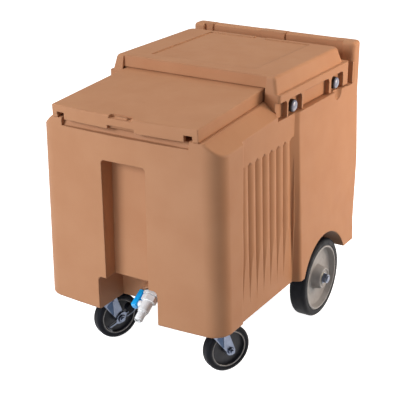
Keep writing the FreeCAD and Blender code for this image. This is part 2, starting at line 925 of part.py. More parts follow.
def cut_knob_scoop(tub):
    """A bowl in the hip's top edge, so that fingers reach round the rear knob."""
    half, depth = "knob_scoop_half_width", "knob_scoop_depth"
    radius = f"({half}^2 + {depth}^2) / 2 / {depth}"
    fall = "(rabbet_z - knob_scoop_bottom_z)"
    sections = [(0, "rabbet_z + overrun")]
    sections += [(turn, f"rabbet_z - {fall} * sin({turn})") for turn in (0, 30, 60, 80)]
    outlines = []
    for turn, height in sections:
        low = f"knob_rear_y - {half} * cos({turn})"
        high = f"knob_rear_y + {half} * cos({turn})"
        mouth = box_outline("hip_half_width", "reach_x", low, high)
        mouth[0] += (f"{radius} * cos({turn})", 1)
        outlines.append((mouth, height))
    return loft(tub, "SubtractiveLoft", "knob_scoop", outlines)


def cut_rear_and_wells(tub):
    back = "handle_rear_y + overrun"
    slope = [
        (back, "rear_crease_z"),
        ("handle_rear_y", "rear_crease_z"),
        ("handle_rear_y - rear_foot_inset", "rear_foot_z"),
        ("handle_rear_y - rear_foot_inset", "tub_bottom_z - overrun"),
        (back, "tub_bottom_z - overrun"),
    ]
    pocket(tub, "rear_slope", "YZ_Plane", "-reach_x", "reach_x", [slope])
    circle = ("axle_y", "axle_z - well_centre_drop", "well_radius")
    well = pocket(tub, "wheel_well", "YZ_Plane", "well_inner_x", "reach_x", circles=[circle])
    below_knob = cut_knob_scoop(tub)
    spots = [(y, "knob_z", "insert_radius + running_gap") for y in ("knob_front_y", "knob_rear_y")]
    inner = "rabbet_x - insert_length - overrun / 5"
    bores = pocket(tub, "insert_bore", "YZ_Plane", inner, "rabbet_x + overrun", circles=spots)
    mirror(tub, [well, below_knob, bores])


def drain_cut(tub, name, low, length, radius):
    """A round cut along the drain's axis, from a depth measured outwards from its datum."""
    at = f"drain_z - ({low}) * sin(drain_tilt_deg)"
    shift = f"drain_y - ({low}) * cos(drain_tilt_deg)"
    tilted_pocket(tub, name, "drain_turn_deg", shift, at, length, circles=[("drain_x", "0", radius)])


def cut_drain(tub):
    at = "drain_z + drain_boss_root * sin(drain_tilt_deg)"
    shift = "drain_y + drain_boss_root * cos(drain_tilt_deg)"
    spot = ("drain_x", "0", "drain_boss_radius")
    sketch = new_sketch(tub, "drain_boss", "XY_Plane", (), [spot], at, "drain_turn_deg", shift)
    feature = tub.newObject("PartDesign::Pad", "drain_boss")
    feature.Profile = sketch
    bind(feature, Length="drain_boss_root + drain_boss_face")
    drain_cut(tub, "drain_face", "drain_boss_face", "2 * overrun", "drain_boss_radius")
    drain_cut(tub, "drain_seat", "-drain_seat_back - overrun", "overrun", "drain_seat_radius")
    bore = "drain_tube_radius + running_gap"
    drain_cut(tub, "drain_bore", "-drain_seat_back - overrun", "3 * overrun", bore)


def screw_spots():
    """Where the caster plates and the axle brackets are screwed up into the tub."""
    plates = [
        (f"{side} * caster_x + {i} * plate_hole_x", f"caster_y + {j} * plate_hole_y")
        for side in (1, -1)
        for i in (1, -1)
        for j in (1, -1)
    ]
    inset = "(bracket_x - bracket_foot_width + bracket_screw_inset)"
    brackets = [
        (f"{side} * {inset}", f"axle_y + {j} * bracket_screw_y") for side in (1, -1) for j in (1, -1)
    ]
    return plates, brackets


def make_tub():
    """The double wall and the foam in it are one solid: nothing opens on the foam."""
    tub = new_body("tub")
    add_tub_form(tub)
    add_crown(tub)
    add_side_panels(tub)
    cut_flutes(tub)
    add_hips(tub)
    add_handle(tub)
    cut_cavity(tub)
    cut_rim(tub)
    cut_front_recess(tub)
    cut_rear_and_wells(tub)
    cut_drain(tub)
    plates, brackets = screw_spots()
    holes = [(x, y, "plate_screw_radius + running_gap") for x, y in plates + brackets]
    low, high = "tub_bottom_z - overrun", "tub_bottom_z + plate_screw_length"
    pocket(tub, "screw_holes", "XY_Plane", low, high, circles=holes)
    keep(tub, "insulated_tub")


# Sliding lid, in its own frame: origin at the middle of its front top edge, top face at zero


def lid_front(half_width, setback):
    """How far back the bowed front stands at a half width, behind a line `setback` inside it."""
    return f"({setback} + tub_bow_radius - sqrt(tub_bow_radius^2 - ({half_width})^2))"


def make_lid():
    lid = new_body("lid")
    side = "lid_half_width"
    corner = lid_front(side, "0")
    plan = [
        (f"-{side}", corner),
        (side, corner, "tub_bow_radius", 1),
        (side, "lid_length"),
        (f"-{side}", "lid_length"),
    ]
    pad(lid, "plate", "XY_Plane", "-lid_thickness", "0", [plan])
    round_edges(
        lid, "top_rounding", "lid_edge_round", lambda edge: all(abs(v.Z) < 0.01 for v in edge.Vertexes)
    )
    foot = box_outline(f"{side} - lid_foot_width", side, corner, "lid_length")
    pad(lid, "feet", "XY_Plane", "-lid_foot_depth", "-lid_thickness", [foot, other_side(foot)])
    edge_x = "lid_flange_half_width"
    flange = [
        (f"-{edge_x}", lid_front(edge_x, "0")),
        (edge_x, lid_front(edge_x, "0"), "tub_bow_radius", 1),
        (edge_x, lid_front(edge_x, "lid_flange_thickness")),
        (f"-{edge_x}", lid_front(edge_x, "lid_flange_thickness")),
    ]
    pad(lid, "flange", "XY_Plane", "-lid_flange_depth", "-lid_thickness", [flange])
    notch = box_outline(edge_x, f"{side} - lid_foot_width", "-lid_foot_depth", "-lid_notch_rise")
    ahead = "-overrun"
    pocket(lid, "corner_notches", "XZ_Plane", ahead, "lid_notch_depth", [notch, other_side(notch)])
    half = "lid_cutout_half_width"
    cutout = box_outline(f"-{half}", half, "-lid_flange_depth - overrun", "-lid_cutout_rise")
    pocket(lid, "finger_cutout", "XZ_Plane", ahead, "lid_flange_thickness + seat_gap", [cutout])
    thumb = round_outline(
        "-thumb_half_width", "thumb_half_width", "-overrun", "thumb_depth", "thumb_radius"
    )
    pocket(lid, "thumb_recess", "XY_Plane", "-thumb_drop", "overrun", [thumb])
    bump = round_outline(
        "-bump_half_width", "bump_half_width", "bump_front", "bump_front + bump_length", "bump_length / 3"
    )
    pad(lid, "thumb_bump", "XY_Plane", "-thumb_drop - seat_gap", "bump_height - thumb_drop", [bump])
    place(lid, y="lid_front_y", z="lid_top_z", axis=(1, 0, 0), angle="slide_slope_deg")
    keep(lid, "front_lid")


# Rear cover


def cover_outline(half_width, front_y, rear_y, front_radius, rear_radius):
    return [
        (f"-({half_width} - {front_radius})", front_y, front_radius, 1),
        (f"{half_width} - {front_radius}", front_y),
        (half_width, f"{front_y} + {front_radius}", front_radius, 1),
        (half_width, f"{rear_y} - {rear_radius}"),
        (f"{half_width} - {rear_radius}", rear_y, rear_radius, 1),
        (f"-({half_width} - {rear_radius})", rear_y),
        (f"-({half_width})", f"{rear_y} - {rear_radius}", rear_radius, 1),
        (f"-({half_width})", f"{front_y} + {front_radius}"),
    ]


def hood_outline(height, inset):
    """The tapering hood's outline at a height, pulled in by an inset."""
    rise = f"(({height}) - cover_foot_z) / (cover_top_z - cover_foot_z)"
    foot = ("cover_foot_half_width", "cover_front_y", "cover_foot_rear_y")
    top = ("cover_top_half_width", "cover_top_front_y", "cover_top_rear_y")
    side, front, rear = (f"({low} + ({high} - {low}) * {rise})" for low, high in zip(foot, top))
    return cover_outline(
        f"({side} - {inset})",
        f"({front} + {inset})",
        f"({rear} - {inset})",
        f"(cover_corner_radius - {inset} / 2)",
        f"(cover_rear_radius - {inset})",
    )


def add_hood(cover):
    sections = [(hood_outline("cover_foot_z", "0"), "cover_foot_z")]
    for turn in (0, 30, 60, 90):
        height = f"cover_top_z - hood_round * (1 - sin({turn}))"
        inset = f"(hood_round * (1 - cos({turn})))"
        sections.append((hood_outline(height, inset), height))
    loft(cover, "AdditiveLoft", "hood", sections)
    side = "skirt_half_width"
    skirt = cover_outline(side, "cover_front_y", "skirt_rear_y", "skirt_radius", "skirt_radius")
    pad(cover, "skirt", "XY_Plane", "skirt_bottom_z", "cover_foot_z", [skirt])


def hollow_cover(cover):
    """Opens the hood from below, and the skirt where it drops over the tub's rim."""
    front = "cover_front_y + return_thickness"
    inner = box_outline("-skirt_inner_x", "skirt_inner_x", front, "skirt_inner_y")
    low, ledge = "skirt_bottom_z - overrun", "rim_top_z + seat_gap"
    pocket(cover, "skirt_inside", "XY_Plane", low, ledge, [inner])
    roof = "cover_top_z - cover_roof"
    sections = [(hood_outline(z, "cover_wall"), z) for z in ("rim_top_z", roof)]
    loft(cover, "SubtractiveLoft", "hood_inside", sections)


def cut_lid_slot(cover):
    """The opening that the lid slides into, under the fascia and over the sloping rim."""
    fascia_y = "cover_front_y + fascia_inset"
    slot_top = f"lid_top_z + ({fascia_y} - lid_front_y) * tan(slide_slope_deg) + slot_gap"
    slot = box_outline("-slot_half_width", "slot_half_width", "skirt_bottom_z - overrun", slot_top)
    front = "cover_front_y - overrun"
    pocket(cover, "lid_slot", "XZ_Plane", front, f"{fascia_y} + 2 * cover_wall", [slot])
    top = "overall_height + overrun"
    face = box_outline("-slot_half_width", "slot_half_width", front, fascia_y)
    pocket(cover, "fascia", "XY_Plane", "skirt_bottom_z", top, [face])
    rim = f"({rim_z('cover_front_y')} + return_thickness * tan(slide_slope_deg) + seat_gap)"
    inner = "(tub_half_width - shoulder_inset + seat_gap)"
    outer = "skirt_half_width + overrun"
    fall = f"{rim} - ({outer} - {inner}) * tan(shoulder_fall_deg)"
    low = "skirt_bottom_z - 4 * overrun"
    under = [
        ("slot_half_width - overrun", low),
        (outer, low),
        (outer, fall),
        (inner, rim),
        ("slot_half_width - overrun", rim),
    ]
    pocket(cover, "return_foot", "XZ_Plane", front, "rim_step_y - seat_gap", [under, other_side(under)])


def cut_skirt_pockets(cover):
    """Finger scoops and knob pockets in the skirt, and the slots that drop over the studs."""
    low = "skirt_bottom_z - overrun"
    outlines = [
        arch_outline(
            "cover_front_y - 2 * pocket_radius", "scoop_rear_y", low, "pocket_top_z", "pocket_radius"
        ),
        arch_outline(
            "middle_pocket_front_y", "middle_pocket_rear_y", low, "pocket_top_z", "pocket_radius"
        ),
    ]
    for y in ("knob_front_y", "knob_rear_y"):
        half = "knob_pocket_half_width"
        outlines.append(
            arch_outline(f"{y} - {half}", f"{y} + {half}", low, "pocket_top_z", "pocket_radius")
        )
    outer = "skirt_half_width + overrun"
    pockets = pocket(cover, "skirt_pockets", "YZ_Plane", "web_outer_x", outer, outlines)
    half = "(knob_stud_radius + seat_gap)"
    slots = [
        box_outline(f"{y} - {half}", f"{y} + {half}", low, f"knob_z + {half}")
        for y in ("knob_front_y", "knob_rear_y")
    ]
    inner = "skirt_inner_x - seat_gap"
    stud_slots = pocket(cover, "stud_slots", "YZ_Plane", inner, "web_outer_x + overrun", slots)
    mirror(cover, [pockets, stud_slots])


def cut_top_panel(cover):
    top, floor = "overall_height + overrun", "cover_top_z - panel_inset_depth"
    side = "panel_inset_half_width"
    panel = round_outline(
        f"-{side}", side, "panel_inset_front_y", "panel_inset_rear_y", "panel_inset_radius"
    )
    pocket(cover, "top_panel", "XY_Plane", floor, top, [panel])
    half = "panel_gap_half_width"
    gap = box_outline(f"-{half}", half, "panel_inset_rear_y - overrun", "skirt_rear_y")
    pocket(cover, "panel_gap", "XY_Plane", floor, top, [gap])


def make_cover():
    cover = new_body("cover")
    add_hood(cover)
    hollow_cover(cover)
    cut_lid_slot(cover)
    cut_skirt_pockets(cover)
    cut_top_panel(cover)
    keep(cover, "rear_cover")


# Knobs that hold the cover. Each is turned about its own Z axis, which points out of the side.


def aim_sideways(piece, side, x, y, z):
    place(piece, f"{side} * ({x})", y, z, axis=(0, side, 0), angle="90")
    return piece


def make_knobs():
    inserts = []
    for side, hand in ((1, "right"), (-1, "left")):
        for y, spot in (("knob_front_y", "front"), ("knob_rear_y", "rear")):
            tail = f"{hand}_{spot}"
            seat = ("web_outer_x + seat_gap", y, "knob_z")
            top, edge = "knob_thickness", "knob_edge"
            cup = "knob_thickness - knob_cap_seat"
            knob = turned(
                f"knob_{tail}",
                [
                    ("knob_stud_radius", "0"),
                    ("knob_radius", "0"),
                    ("knob_radius", f"{top} - {edge}"),
                    (f"knob_radius - {edge}", top, edge, 1),
                    ("knob_cap_radius", top),
                    ("knob_cap_radius", cup),
                    ("knob_stud_radius", cup),
                ],
            )
            keep(aim_sideways(knob, side, *seat), f"cover_knob_{tail}")
            rise = "(knob_cap_radius^2 + knob_cap_dome^2) / 2 / knob_cap_dome"
            cap = turned(
                f"cap_{tail}",
                [
                    ("0", cup),
                    ("knob_cap_radius", cup),
                    ("knob_cap_radius", top),
                    ("0", f"{top} + knob_cap_dome", rise, 1),
                ],
            )
            keep(aim_sideways(cap, side, *seat), f"knob_cap_{tail}")
            stud = turned(
                f"stud_{tail}", box_outline("0", "knob_stud_radius", "-knob_stud_length", cup)
            )
            keep(aim_sideways(stud, side, *seat), f"knob_stud_{tail}")
            bore = "knob_stud_radius + running_gap"
            insert = ring(f"insert_{tail}", bore, "insert_radius", "-insert_length", "0")
            inserts.append(aim_sideways(insert, side, "rabbet_x", y, "knob_z"))
    group("threaded_inserts", inserts)


# Drain and ball valve. Each piece's Z axis is the drain's axis, pointing out and down.


def aim_drain(piece):
    return place(piece, "drain_x", "drain_y", "drain_z", axis=(1, 0, 0), angle="drain_turn_deg")


def make_drain():
    seat = "-drain_seat_back"
    under = f"{seat} - gasket_thickness"
    fitting = turned(
        "fitting",
        [
            ("drain_bore_radius", f"{under} - drain_flange_thickness"),
            ("drain_flange_radius", f"{under} - drain_flange_thickness"),
            ("drain_flange_radius", under),
            ("drain_tube_radius", under),
            ("drain_tube_radius", "drain_tube_end"),
            ("drain_bore_radius", "drain_tube_end"),
        ],
    )
    keep(aim_drain(fitting), "drain_fitting")
    bore = "drain_tube_radius + running_gap"
    face = "drain_boss_face"
    rings = [
        aim_drain(ring("gasket_inner", bore, "drain_flange_radius", under, seat)),
        aim_drain(ring("gasket_outer", bore, "drain_flange_radius", face, f"{face} + gasket_thickness")),
    ]
    group("drain_gaskets", rings)
    nut = new_body("locknut")
    low = f"{face} + gasket_thickness"
    pad(nut, "hex", "XY_Plane", low, f"{low} + locknut_thickness", [hexagon("locknut_across")])
    hole = ("0", "0", bore)
    pocket(nut, "bore", "XY_Plane", low, f"{low} + locknut_thickness", circles=[hole])
    keep(aim_drain(nut), "drain_locknut")


def make_valve():
    """Ball valve: a hexagonal inlet, a round body round the ball, and a boss for the stem."""
    body = new_body("valve")
    start, end = "valve_socket_back", "valve_body_end"
    pad(body, "inlet", "XY_Plane", start, f"{start} + valve_hex_length", [hexagon("valve_hex_across")])
    pad(body, "barrel", "XY_Plane", start, end, circles=[("0", "0", "valve_body_radius")])
    boss = ("0", "valve_centre", "valve_boss_radius")
    pad(body, "stem_boss", "YZ_Plane", "-valve_boss_length", "0", circles=[boss])
    socket = ("0", "0", "drain_tube_radius + running_gap")
    pocket(body, "socket", "XY_Plane", f"{start} - overrun", "drain_tube_end + seat_gap", circles=[socket])
    chamber = ("0", "0", "valve_chamber_radius")
    pocket(body, "chamber", "XY_Plane", "valve_centre - seat_far", f"{end} + overrun", circles=[chamber])
    way = ("0", "0", "drain_bore_radius")
    pocket(body, "way", "XY_Plane", "drain_tube_end", f"{end} + overrun", circles=[way])
    hole = ("0", "valve_centre", "valve_stem_radius + running_gap")
    pocket(body, "stem_hole", "YZ_Plane", "-valve_boss_length - overrun", "0", circles=[hole])
    keep(aim_drain(body), "valve_body")


def ball_outline():
    """Half of a ball with a straight bore through it."""
    rim = "sqrt(valve_ball_radius^2 - valve_ball_bore^2)"
    return [
        ("valve_ball_bore", f"valve_centre - {rim}"),
        ("valve_ball_radius", "valve_centre", "valve_ball_radius", 1),
        ("valve_ball_bore", f"valve_centre + {rim}", "valve_ball_radius", 1),
    ]


def make_valve_inside():
    ball = turned("ball", ball_outline())
    key = "(valve_key_half + running_gap)"
    ends = [f"valve_centre {sign} (valve_ball_radius + overrun)" for sign in "-+"]
    slot = box_outline(f"-{key}", key, *ends)
    outside = "-valve_ball_radius - overrun"
    pocket(ball, "key_slot", "YZ_Plane", outside, "valve_key_depth - valve_ball_radius", [slot])
    keep(aim_drain(ball), "valve_ball")
    mouth = "sqrt((valve_ball_radius + 2 * running_gap)^2 - seat_near^2)"
    outer = "valve_chamber_radius - running_gap"
    seats = [
        aim_drain(ring("seat_in", mouth, outer, "valve_centre - seat_far", "valve_centre - seat_near")),
        aim_drain(ring("seat_out", mouth, outer, "valve_centre + seat_near", "valve_centre + seat_far")),
    ]
    group("ball_seats", seats)


def make_lever():
    """Stem, lever and screw, which turn the ball about an axis across the flow."""
    stem = new_body("stem")
    shoulder, neck = "-valve_stem_shoulder", "-valve_ball_radius - running_gap"
    shank = ("0", "valve_centre", "valve_stem_radius")
    pad(stem, "shank", "YZ_Plane", shoulder, neck, circles=[shank])
    half, wide = "valve_key_half", "sqrt(valve_stem_radius^2 - valve_key_half^2)"
    blade = box_outline(f"-{half}", half, f"valve_centre - ({wide})", f"valve_centre + {wide}")
    pad(stem, "key", "YZ_Plane", neck, "valve_key_depth - valve_ball_radius - running_gap", [blade])
    half = "valve_square_half"
    square = box_outline(f"-{half}", half, f"valve_centre - {half}", f"valve_centre + {half}")
    pad(stem, "square", "YZ_Plane", f"{shoulder} - lever_thickness", shoulder, [square])
    tip = f"{shoulder} - lever_thickness - seat_gap"
    bore = ("0", "valve_centre", "lever_screw_radius")
    pocket(stem, "screw_bore", "YZ_Plane", tip, "lever_face_x + lever_screw_length", circles=[bore])
    keep(aim_drain(stem), "valve_stem")
    lever = new_body("lever")
    heel, reach = "valve_centre + lever_heel", "valve_centre - lever_reach"
    wide, narrow, corner = "lever_half_width", "lever_tip_half_width", "lever_corner"
    blade = [
        (f"-({narrow} - {corner})", reach),
        (f"{narrow} - {corner}", reach),
        (narrow, f"{reach} + {corner}", corner, 1),
        (wide, "valve_centre"),
        (wide, f"{heel} - {corner}"),
        (f"{wide} - {corner}", heel, corner, 1),
        (f"-({wide} - {corner})", heel),
        (f"-{wide}", f"{heel} - {corner}", corner, 1),
        (f"-{wide}", "valve_centre"),
        (f"-{narrow}", f"{reach} + {corner}"),
    ]
    blade[0] = (*blade[0], corner, 1)
    inner = f"{shoulder} - seat_gap"
    pad(lever, "blade", "YZ_Plane", "lever_face_x", inner, [blade])
    half = f"({narrow} - {corner})"
    lip = box_outline(f"-{half}", half, reach, f"{reach} + lever_lip_thickness")
    pad(lever, "lip", "YZ_Plane", "lever_face_x - lever_lip", inner, [lip])
    half = "(valve_square_half + running_gap)"
    square = box_outline(f"-{half}", half, f"valve_centre - {half}", f"valve_centre + {half}")
    pocket(lever, "square_hole", "YZ_Plane", "lever_face_x - overrun", "0", [square])
    keep(aim_drain(lever), "valve_lever")
    screw = new_body("screw")
    head = ("0", "valve_centre", "lever_screw_head_radius")
    outer = "lever_face_x - lever_screw_head_length"
    pad(screw, "head", "YZ_Plane", outer, "lever_face_x", circles=[head])
    end = "lever_face_x + lever_screw_length - seat_gap"
    thread = ("0", "valve_centre", "lever_screw_radius - running_gap")
    pad(screw, "thread", "YZ_Plane", "lever_face_x", end, circles=[thread])
    keep(aim_drain(screw), "lever_screw")


def make_hose_tail():
    """Barbed spout that a hose pushes onto."""
    start, step = "valve_centre + seat_far", "valve_body_end + tail_shoulder_length"
    points = [
        ("tail_bore_radius", start),
        ("valve_chamber_radius - running_gap", start),
        ("valve_chamber_radius - running_gap", "valve_body_end"),
        ("tail_shoulder_radius", "valve_body_end"),
        ("tail_shoulder_radius", step),
        ("tail_groove_radius", step),
        ("tail_groove_radius", f"{step} + tail_neck"),
    ]
    for i in range(int(number("tail_ridge_count"))):
        foot = f"{step} + tail_neck + {i} * tail_ridge_pitch"
        points += [
            ("tail_radius", foot),
            ("tail_radius", f"{foot} + tail_ridge_land"),
            ("tail_groove_radius", f"{foot} + tail_ridge_pitch"),
        ]
    points += [("tail_groove_radius", "tail_end"), ("tail_bore_radius", "tail_end")]
    keep(aim_drain(turned("tail", points)), "hose_tail")


def make_shelf():
    """Perforated false floor that keeps the ice out of the melt water."""
    shelf = new_body("shelf")
    gap = "shelf_clearance"
    side, radius = f"(cavity_half_width - {gap})", f"(cavity_radius - {gap})"
    front, rear = f"(cavity_foot_front_y + {gap})", f"(cavity_rear_y - {gap})"
    outline = round_outline(f"-{side}", side, front, rear, radius)
    top = "shelf_z + shelf_thickness"
    pad(shelf, "plate", "XY_Plane", "shelf_z", top, [outline])
    feet = [
        (f"{side} * shelf_foot_x", y, "shelf_foot_radius")
        for side in (1, -1)
        for y in ("shelf_foot_front_y", "shelf_foot_rear_y")
    ]
    pad(shelf, "feet", "XY_Plane", "cavity_floor_z", "shelf_z", circles=feet)
    middle = "(cavity_foot_front_y + cavity_rear_y) / 2"
    holes = [
        (f"{i} * shelf_hole_pitch_x", f"{middle} + {j} * shelf_hole_pitch_y", "shelf_hole_radius")
        for i in (-2, -1, 0, 1, 2)
        for j in (-2, -1, 0, 1, 2)
        if abs(i * j) < 4
    ]
    low, high = "shelf_z - seat_gap", f"{top} + seat_gap"
    pocket(shelf, "drain_holes", "XY_Plane", low, high, circles=holes)
    side, depth = "shelf_grip_half_width", "shelf_grip_half_depth"
    grips = [
        round_outline(f"-{side}", side, f"{y} - {depth}", f"{y} + {depth}", f"({depth} - seat_gap)")
        for y in (f"{middle} - shelf_grip_y", f"{middle} + shelf_grip_y")
    ]
    pocket(shelf, "hand_holes", "XY_Plane", low, high, grips)
    keep(shelf, "drain_shelf")


# Screws: hexagon-headed, driven upwards


def hex_screw(name, x, y, z, length):
    screw = new_body(name)
    head = hexagon("plate_screw_across")
    pad(screw, "head", "XY_Plane", "-plate_screw_head", "0", [head])
    pad(screw, "shank", "XY_Plane", "0", length, circles=[("0", "0", "plate_screw_radius")])
    return place(screw, x, y, z)


# Swivel casters. Each is built about its swivel axis, with the ground at zero and the wheel
# trailing along +Y, and is then turned by its own angle.


def aim_caster(piece, side, yaw):
    return place(piece, f"{side} * caster_x", "caster_y", "0", axis=(0, 0, 1), angle=f"-{yaw}")


def wheel_turned(name, points, centre_y, centre_z):
    """A piece turned about a wheel's axle, from an outline of (distance along X, radius)."""
    body = new_body(name)
    sketch = new_sketch(body, name, "XZ_Plane", [points], at=centre_y, shift=centre_z)
    feature = body.newObject("PartDesign::Revolution", f"{name}_turn")
    feature.Profile = sketch
    feature.ReferenceAxis = (sketch, ["H_Axis"])
    feature.Angle = 360
    return body


def make_caster_plates():
    screws, pins = [], []
    for side, hand in ((1, "right"), (-1, "left")):
        plate = new_body(f"plate_{hand}")
        outline = round_outline(
            "-plate_half_width", "plate_half_width", "-plate_half_length", "plate_half_length", "plate_radius"
        )
        holes = [
            (f"{i} * plate_hole_x", f"{j} * plate_hole_y", "plate_screw_radius + running_gap")
            for i in (1, -1)
            for j in (1, -1)
        ]
        pad(plate, "plate", "XY_Plane", "plate_bottom_z", "tub_bottom_z", [outline])
        race = ("0", "0", "race_radius")
        pad(plate, "race", "XY_Plane", "race_bottom_z", "plate_bottom_z", circles=[race])
        bore = ("0", "0", "kingpin_radius")
        low, high = "race_bottom_z - overrun", "tub_bottom_z + overrun"
        pocket(plate, "holes", "XY_Plane", low, high, circles=[*holes, bore])
        keep(place(plate, f"{side} * caster_x", "caster_y"), f"caster_plate_{hand}")
        for i in (1, -1):
            for j in (1, -1):
                x, y = f"{side} * caster_x + {i} * plate_hole_x", f"caster_y + {j} * plate_hole_y"
                name = f"plate_screw_{hand}_{i + 1}{j + 1}"
                length = "plate_thickness + plate_screw_length - seat_gap"
                screws.append(hex_screw(name, x, y, "plate_bottom_z", length))
        under = "crown_bottom_z - race_gap"
        pin = turned(
            f"kingpin_{hand}",
            [
                ("0", f"{under} - kingpin_head"),
                ("kingpin_head_radius", f"{under} - kingpin_head"),
                ("kingpin_head_radius", under),
                ("kingpin_radius", under),
                ("kingpin_radius", "tub_bottom_z"),
                ("0", "tub_bottom_z"),
            ],
        )
        pins.append(place(pin, f"{side} * caster_x", "caster_y"))
    group("caster_screws", screws)
    group("kingpins", pins)


def make_fork(hand):
    fork = new_body(f"fork_{hand}")
    front, rear, outer = "fork_leg_front_y", "fork_leg_rear_y", "leg_outer_x"
    crown = [box_outline(f"-{outer}", outer, front, rear)]
    pad(fork, "crown", "XY_Plane", "crown_bottom_z", "crown_top_z", crown)
    disc = ("0", "0", "fork_crown_radius")
    pad(fork, "disc", "XY_Plane", "crown_bottom_z", "crown_top_z", circles=[disc])
    toe, trail, hub = "fork_toe_radius", "caster_trail", "caster_wheel_radius"
    shoulder = "crown_bottom_z - fork_shoulder"
    leg = [
        (front, "crown_top_z"),
        (front, shoulder),
        (f"{trail} - {toe}", hub),
        (trail, f"{hub} - {toe}", toe, 1),
        (f"{trail} + {toe}", hub, toe, 1),
        (rear, shoulder),
        (rear, "crown_top_z"),
    ]
    right = pad(fork, "leg", "YZ_Plane", "fork_inner_half_width", outer, [leg])
    mirror(fork, [right])
    bolt = (trail, hub, "axle_bolt_radius")
    pocket(fork, "bolt_hole", "YZ_Plane", f"-{outer} - overrun", f"{outer} + overrun", circles=[bolt])
    pivot = ("0", "0", "kingpin_radius + running_gap")
    low, high = "crown_bottom_z - seat_gap", "crown_top_z + seat_gap"
    pocket(fork, "kingpin_hole", "XY_Plane", low, high, circles=[pivot])
    return fork


def tyre_outline(half_width, inner, outer, rounding):
    return [
        (f"-({half_width})", inner),
        (half_width, inner),
        (half_width, f"{outer} - {rounding}"),
        (f"{half_width} - {rounding}", outer, rounding, 1),
        (f"-({half_width} - {rounding})", outer),
        (f"-({half_width})", f"{outer} - {rounding}", rounding, 1),
    ]


def caster_core_outline():
    """Half section of the wheel core: hub, web and rim."""
    hub_x, hub = "caster_hub_width / 2", "caster_hub_radius"
    rim_x, web = "caster_rim_width / 2", "caster_web_half"
    rim = "caster_tyre_inner_radius - caster_rim_thickness"
    outer = "caster_tyre_inner_radius"
    right = [(hub_x, "bush_radius"), (hub_x, hub), (web, hub), (web, rim), (rim_x, rim), (rim_x, outer)]
    return right + [(f"-({x})", height) for x, height in reversed(right)]


def make_caster(side, hand, yaw, plate_outside):
    """One swivelling fork with its wheel. A brake plate may lie outside the right-hand leg."""
    trail, hub = "caster_trail", "caster_wheel_radius"

    def done(piece, label):
        keep(aim_caster(piece, side, yaw), f"{label}_{hand}")

    done(make_fork(hand), "caster_fork")
    core = wheel_turned(f"core_{hand}", caster_core_outline(), trail, hub)
    done(core, "caster_wheel")
    half, inner = "caster_tyre_width / 2", "caster_tyre_inner_radius"
    tread = tyre_outline(half, inner, "caster_wheel_radius", "caster_tyre_round")
    done(wheel_turned(f"tread_{hand}", tread, trail, hub), "caster_tyre")
    half = "caster_hub_width / 2"
    sleeve = box_outline(f"-{half}", half, "axle_bolt_radius + running_gap", "bush_radius")
    done(wheel_turned(f"sleeve_{hand}", sleeve, trail, hub), "caster_bush")
    outer = f"(leg_outer_x + {plate_outside})"
    head = hexagon("axle_bolt_across")
    bolt = new_body(f"bolt_{hand}")
    low, high = "-leg_outer_x - axle_bolt_head", f"{outer} + axle_bolt_head + axle_bolt_end"
    shifted = [(f"{trail} + {p[0]}", f"{hub} + {p[1]}") for p in head]
    pad(bolt, "head", "YZ_Plane", low, "-leg_outer_x", [shifted])
    shank = (trail, hub, "axle_bolt_radius")
    pad(bolt, "shank", "YZ_Plane", "-leg_outer_x", high, circles=[shank])
    done(bolt, "axle_bolt")
    nut = new_body(f"nut_{hand}")
    pad(nut, "hex", "YZ_Plane", outer, f"{outer} + axle_bolt_head", [shifted])
    pocket(nut, "bore", "YZ_Plane", f"{outer} - overrun", f"{outer} + overrun", circles=[shank])
    done(nut, "axle_nut")


def bar_outline(reach, half, along, across):
    """A bar from the caster's axle outwards, where (along, across) is its direction."""
    ends = [("0", "-1"), (reach, "-1"), (reach, "1"), ("0", "1")]
    return [
        (
            f"caster_trail + ({out}) * {along} - ({side}) * {half} * {across}",
            f"caster_wheel_radius + ({out}) * {across} + ({side}) * {half} * {along}",
        )
        for out, side in ends
    ]


def make_brake():
    """Foot brake of the left caster: a plate that rocks on the axle bolt, outside the leg."""
    trail, hub, half = "caster_trail", "caster_wheel_radius", "brake_arm_half_width"
    pedal, pedal_way = "brake_pedal_reach", ("(-cos(brake_pedal_drop_deg))", "(-sin(brake_pedal_drop_deg))")
    pad_reach, pad_way = "brake_pad_reach", ("cos(brake_pad_rise_deg)", "sin(brake_pad_rise_deg)")
    low = "leg_outer_x + seat_gap"
    high = f"{low} + brake_plate_thickness"
    lever = new_body("brake")
    pad(lever, "hub", "YZ_Plane", low, high, circles=[(trail, hub, "brake_hub_radius")])
    pad(lever, "pedal_arm", "YZ_Plane", low, high, [bar_outline(pedal, half, *pedal_way)])
    pad(lever, "pad_arm", "YZ_Plane", low, high, [bar_outline(pad_reach, half, *pad_way)])
    tread = bar_outline(pedal, half, *pedal_way)
    root = bar_outline(f"({pedal} - brake_tab_thickness)", half, *pedal_way)
    tab = [root[1], tread[1], tread[2], root[2]]
    pad(lever, "pedal_tab", "YZ_Plane", low, f"{high} + brake_tab_length", [tab])
    tip = [f"{centre} + {pad_reach} * {way}" for centre, way in zip((trail, hub), pad_way)]
    pad(lever, "pad_boss", "YZ_Plane", low, high, circles=[(*tip, f"{half} + brake_plate_thickness")])
    bolt = (trail, hub, "axle_bolt_radius + running_gap")
    pocket(lever, "bolt_hole", "YZ_Plane", "0", f"{high} + overrun", circles=[bolt])
    keep(aim_caster(lever, -1, "caster_yaw_left_deg"), "brake_lever")
    grip = new_body("brake_grip")
    pad(grip, "pad", "YZ_Plane", high, f"{high} + brake_pad_length", circles=[(*tip, "brake_pad_radius")])
    keep(aim_caster(grip, -1, "caster_yaw_left_deg"), "brake_pad")


def make_casters():
    make_caster_plates()
    make_caster(1, "right", "caster_yaw_right_deg", "0")
    make_caster(-1, "left", "caster_yaw_left_deg", "brake_plate_thickness + 2 * seat_gap")
    make_brake()


# Rear axle and its wheels


